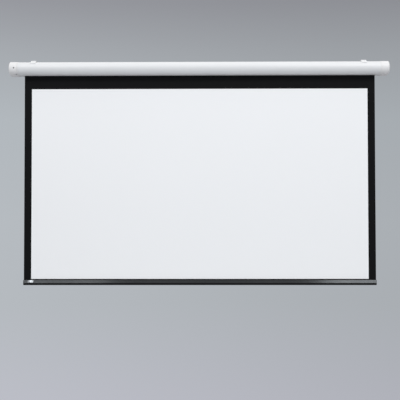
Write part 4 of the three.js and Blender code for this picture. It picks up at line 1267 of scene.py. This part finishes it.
class PROJECTION_OT_bottom_bar(bpy.types.Operator):
    """Build the anodised bottom bar, its two end plugs and the bare plate on its front"""

    bl_idname = "projection.bottom_bar"
    bl_label = "Bottom bar"

    def execute(self, context):
        bar = settings("bar")
        home = Matrix.Translation((0, sheet_y, bar_high.z))
        roof = -bar.channel_depth - bar.channel - bar.wall
        hollow = [(y, min(z, roof)) for y, z in shifted(bar_outline(), -bar.wall, True)]
        hollow = [point for i, point in enumerate(hollow) if point[1] < roof or hollow[i - 1][1] < roof
                  or hollow[(i + 1) % len(hollow)][1] < roof]
        piece = raw_object("bar_extrusion", placed(
            prism(bar_section(), bar_low.x, bar_high.x, [hollow]), home))
        anodised = anodised_finish("bar_anodised", bar.anodised)
        finished(piece, anodised, "screen_bar", "black_anodised", "bottom_bar", sharp=18)
        plug = moulded_finish("bar_plug_plastic", bar.plugs, 0.45, 1300, 0.00004, 0.1)
        for side in ("left", "right"):
            low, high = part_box(f"{side}_bar_cap")
            outer, inner = (low.x, bar_low.x) if side == "left" else (high.x, bar_high.x)
            lid = raw_object(f"{side}_bar_plug", placed(
                prism(bar_outline(), min(outer, inner), max(outer, inner)), home))
            rounded(lid, bar.plug_edge, segments=3, limit=50)
            finished(lid, plug, "screen_bar", "black_plastic", f"{side}_bar_cap", flats=True)
        self.plate(home)
        return {"FINISHED"}

    @staticmethod
    def plate(home):
        """A bare metal plate that follows the bar's upper face, with rounded edges."""
        bar = settings("bar")
        low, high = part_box("badge_plate")
        centre = (low.x + high.x) / 2
        width = high.x - low.x
        upper, _ = bar_front()
        face = curve(upper[0], (-bar.shoulder_half, -bar.shoulder), upper[-1], bar.plate_facets)
        inside = [point for point in face if low.z < bar_high.z + point[1] < high.z]
        base = shifted(inside, bar.plate_gap + bar.plate_thickness / 2)
        piece = raw_object("bar_plate", placed(
            prism(ribbon(base, bar.plate_thickness), centre - width / 2, centre + width / 2), home))
        rounded(piece, bar.plate_edge, limit=50)
        finish = metal_finish("plate_metal", bar.plate, 0.34, (30.0, 1.0, 1.0), 1800, 0.00002)
        finished(piece, finish, "screen_bar", "plain_plate", "badge_plate")


# Pieces that keep their own shape, and only get a finish

def inner_finishes():
    return {
        "zinc_steel": zinc_finish("zinc_plate"),
        "bare_steel": metal_finish("turned_steel", (0.40, 0.41, 0.43), 0.34),
        "cast_aluminium": metal_finish("cast_metal", (0.50, 0.51, 0.52), 0.52, cast=0.8),
        "raw_aluminium": metal_finish("drawn_tube", (0.66, 0.68, 0.69), 0.36, (50.0, 1.0, 1.0)),
        "copper_winding": winding_finish("motor_winding"),
        "white_plastic": moulded_finish("terminal_plastic", (0.74, 0.74, 0.72), 0.5),
        "black_plastic": moulded_finish("inner_black_plastic", (0.013, 0.013, 0.014), 0.5, fleck=0.1),
        "grey_plastic": moulded_finish("motor_grey_plastic", (0.16, 0.165, 0.17), 0.52, fleck=0.05),
        # Painted shade: the limit screws get a near-black plastic so that the access holes over them read as
        # dark as their shade
        "dark_plastic": moulded_finish("limit_dark_plastic", (0.019, 0.019, 0.021), 0.45, fleck=0.1),
        "black_rubber": moulded_finish("lead_rubber", (0.016, 0.016, 0.017), 0.68, 700, 0.00008, 0.15),
    }


class PROJECTION_OT_inner_parts(bpy.types.Operator):
    """Give the motor, roller, end plates and other carried-over parts their finishes"""

    bl_idname = "projection.inner_parts"
    bl_label = "Inner parts"

    def execute(self, context):
        finishes = inner_finishes()
        stood_for = {node for made in bpy.data.objects for node in made.get("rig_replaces", [])}
        for row in frame["record"]["subparts"]:
            if row["node"] in stood_for:
                continue
            node = frame["nodes"][row["node"]]
            node.data.materials.clear()
            node.data.materials.append(finishes[row["material_slot"]])
        return {"FINISHED"}


# Stage

def backdrop():
    """A soft grey studio all round, palest low down and to the left, under a bright ceiling."""
    world = bpy.data.worlds.new("studio")
    world.use_nodes = True
    board = Board(world.node_tree)
    way = board.node("ShaderNodeTexCoord")
    side, _, up = board.split(way)
    tones = board.node("ShaderNodeValToRGB", {"stops": [
        (0.30, (0.35, 0.35, 0.37)),
        (0.35, (0.480, 0.490, 0.540)),
        (0.39, (0.470, 0.480, 0.532)),
        (0.45, (0.430, 0.456, 0.485)),
        (0.50, (0.434, 0.462, 0.491)),
        (0.563, (0.413, 0.445, 0.474)),
        (0.603, (0.356, 0.376, 0.402)),
        (0.634, (0.285, 0.292, 0.319)),
        (0.65, (0.275, 0.285, 0.310)),
        (0.68, (0.10, 0.10, 0.11)),
    ]}, {0: up * 0.5 + 0.5})
    tilt = side.spread(-0.5, 0.5, 1.11, 0.89)
    shade = board.node("ShaderNodeVectorMath", {"operation": "SCALE"}, {0: tones, 3: tilt})
    ceiling = up.spread(0.36, 0.75) * settings("stage").overhead
    lit = board.node("ShaderNodeVectorMath", {"operation": "ADD"}, {0: shade, 1: ceiling})
    board.feed(world.node_tree.nodes["Background"].inputs[0], lit)
    bpy.context.scene.world = world


def soft_light(name, middle, aim, size, watts):
    """A rectangular light that the camera doesn't see."""
    lamp = bpy.data.lights.new(name, "AREA")
    lamp.shape = "RECTANGLE"
    lamp.size, lamp.size_y = size
    lamp.energy = watts
    made = bpy.data.objects.new(name, lamp)
    made.location = middle
    made.rotation_euler = (Vector(aim) - Vector(middle)).to_track_quat("-Z", "Y").to_euler()
    made.visible_camera = False
    bpy.context.scene.collection.objects.link(made)
    return made


def low_lights():
    """Three long lights in front of the screen, which show as pale lines in the bar."""
    stage = settings("stage")
    aim_share = 0.5
    strips = (("left", -2.25, 1.5, 18), ("middle", 0.0, 3.6, 13), ("right", 2.5, 1.4, 33))
    for name, x, width, watts in strips:
        low = soft_light(f"{name}_low_light", (x, -stage.strip_setback, stage.strip_level),
                         (x * aim_share, 0.0, bar_low.z), (width, stage.strip_height), watts)
        low.data.color = stage.strip_tint


def set_camera():
    stage = settings("stage")
    lens = bpy.data.cameras.new("camera")
    lens.lens = stage.lens
    lens.sensor_width = 36.0
    made = bpy.data.objects.new("camera", lens)
    made.location = stage.camera
    made.rotation_euler = (math.pi / 2 + stage.pitch, stage.roll, stage.yaw)
    bpy.context.scene.collection.objects.link(made)
    bpy.context.scene.camera = made


def lay_floor():
    """A round floor with a ring of points half way out."""
    stage = settings("stage")
    reach, count = stage.floor_reach, 96
    points = [(0, 0, 0)] + [(r * math.cos(2 * math.pi * i / count), r * math.sin(2 * math.pi * i / count), 0)
                            for r in (reach / 2, reach) for i in range(count)]
    faces = []
    for i in range(count):
        near, next_near = 1 + i, 1 + (i + 1) % count
        faces += [(0, near, next_near), (near, near + count, next_near + count, next_near)]
    made = raw_object("floor", (points, faces))
    made.location = (0, 0, stage.floor_level)
    made.data.materials.append(floor_finish("pale_floor", stage.floor, reach))


class PROJECTION_OT_stage(bpy.types.Operator):
    """Set the pale floor, the soft studio light and the camera"""

    bl_idname = "projection.stage"
    bl_label = "Stage"

    def execute(self, context):
        stage = settings("stage")
        context.scene.view_settings.view_transform = "Standard"
        set_camera()
        backdrop()
        size = (stage.light_width, stage.light_height)
        soft_light("left_soft_light", stage.left_light, stage.aim, size, stage.left_power)
        soft_light("right_soft_light", stage.right_light, stage.aim, size, stage.right_power)
        low_lights()
        soft_light("under_light", stage.under_light, axis, (stage.under_width, stage.under_depth),
                   stage.under_power)
        lay_floor()
        return {"FINISHED"}


class PROJECTION_PT_panel(bpy.types.Panel):
    """Lists the pieces of the projection screen and their settings"""

    bl_idname = "PROJECTION_PT_panel"
    bl_label = "Projection screen"
    bl_space_type = "VIEW_3D"
    bl_region_type = "UI"
    bl_category = "Projection screen"

    def draw(self, context):
        for operator in operators:
            self.layout.operator(operator.bl_idname)
        for name, group in groups.items():
            box = self.layout.box()
            box.label(text=name.replace("_", " ").capitalize())
            for key in group.__annotations__:
                box.prop(getattr(context.scene, "projection_" + name), key)


groups = {
    "case": CaseSettings,
    "caps": CapSettings,
    "fasteners": FastenerSettings,
    "brackets": BracketSettings,
    "gland": GlandSettings,
    "sheet": SheetSettings,
    "bar": BarSettings,
    "stage": StageSettings,
}
operators = (
    PROJECTION_OT_stage,
    PROJECTION_OT_case,
    PROJECTION_OT_end_caps,
    PROJECTION_OT_fasteners,
    PROJECTION_OT_brackets,
    PROJECTION_OT_gland,
    PROJECTION_OT_sheet,
    PROJECTION_OT_bottom_bar,
    PROJECTION_OT_inner_parts,
)


def register():
    for cls in (*groups.values(), *operators, PROJECTION_PT_panel):
        bpy.utils.register_class(cls)
    for name, group in groups.items():
        setattr(bpy.types.Scene, "projection_" + name, PointerProperty(type=group))


def unregister():
    for name in groups:
        delattr(bpy.types.Scene, "projection_" + name)
    for cls in reversed((*groups.values(), *operators, PROJECTION_PT_panel)):
        bpy.utils.unregister_class(cls)


def main():
    register()
    for operator in operators:
        getattr(bpy.ops.projection, operator.bl_idname.split(".")[1])()


if __name__ == "__main__":
    main()
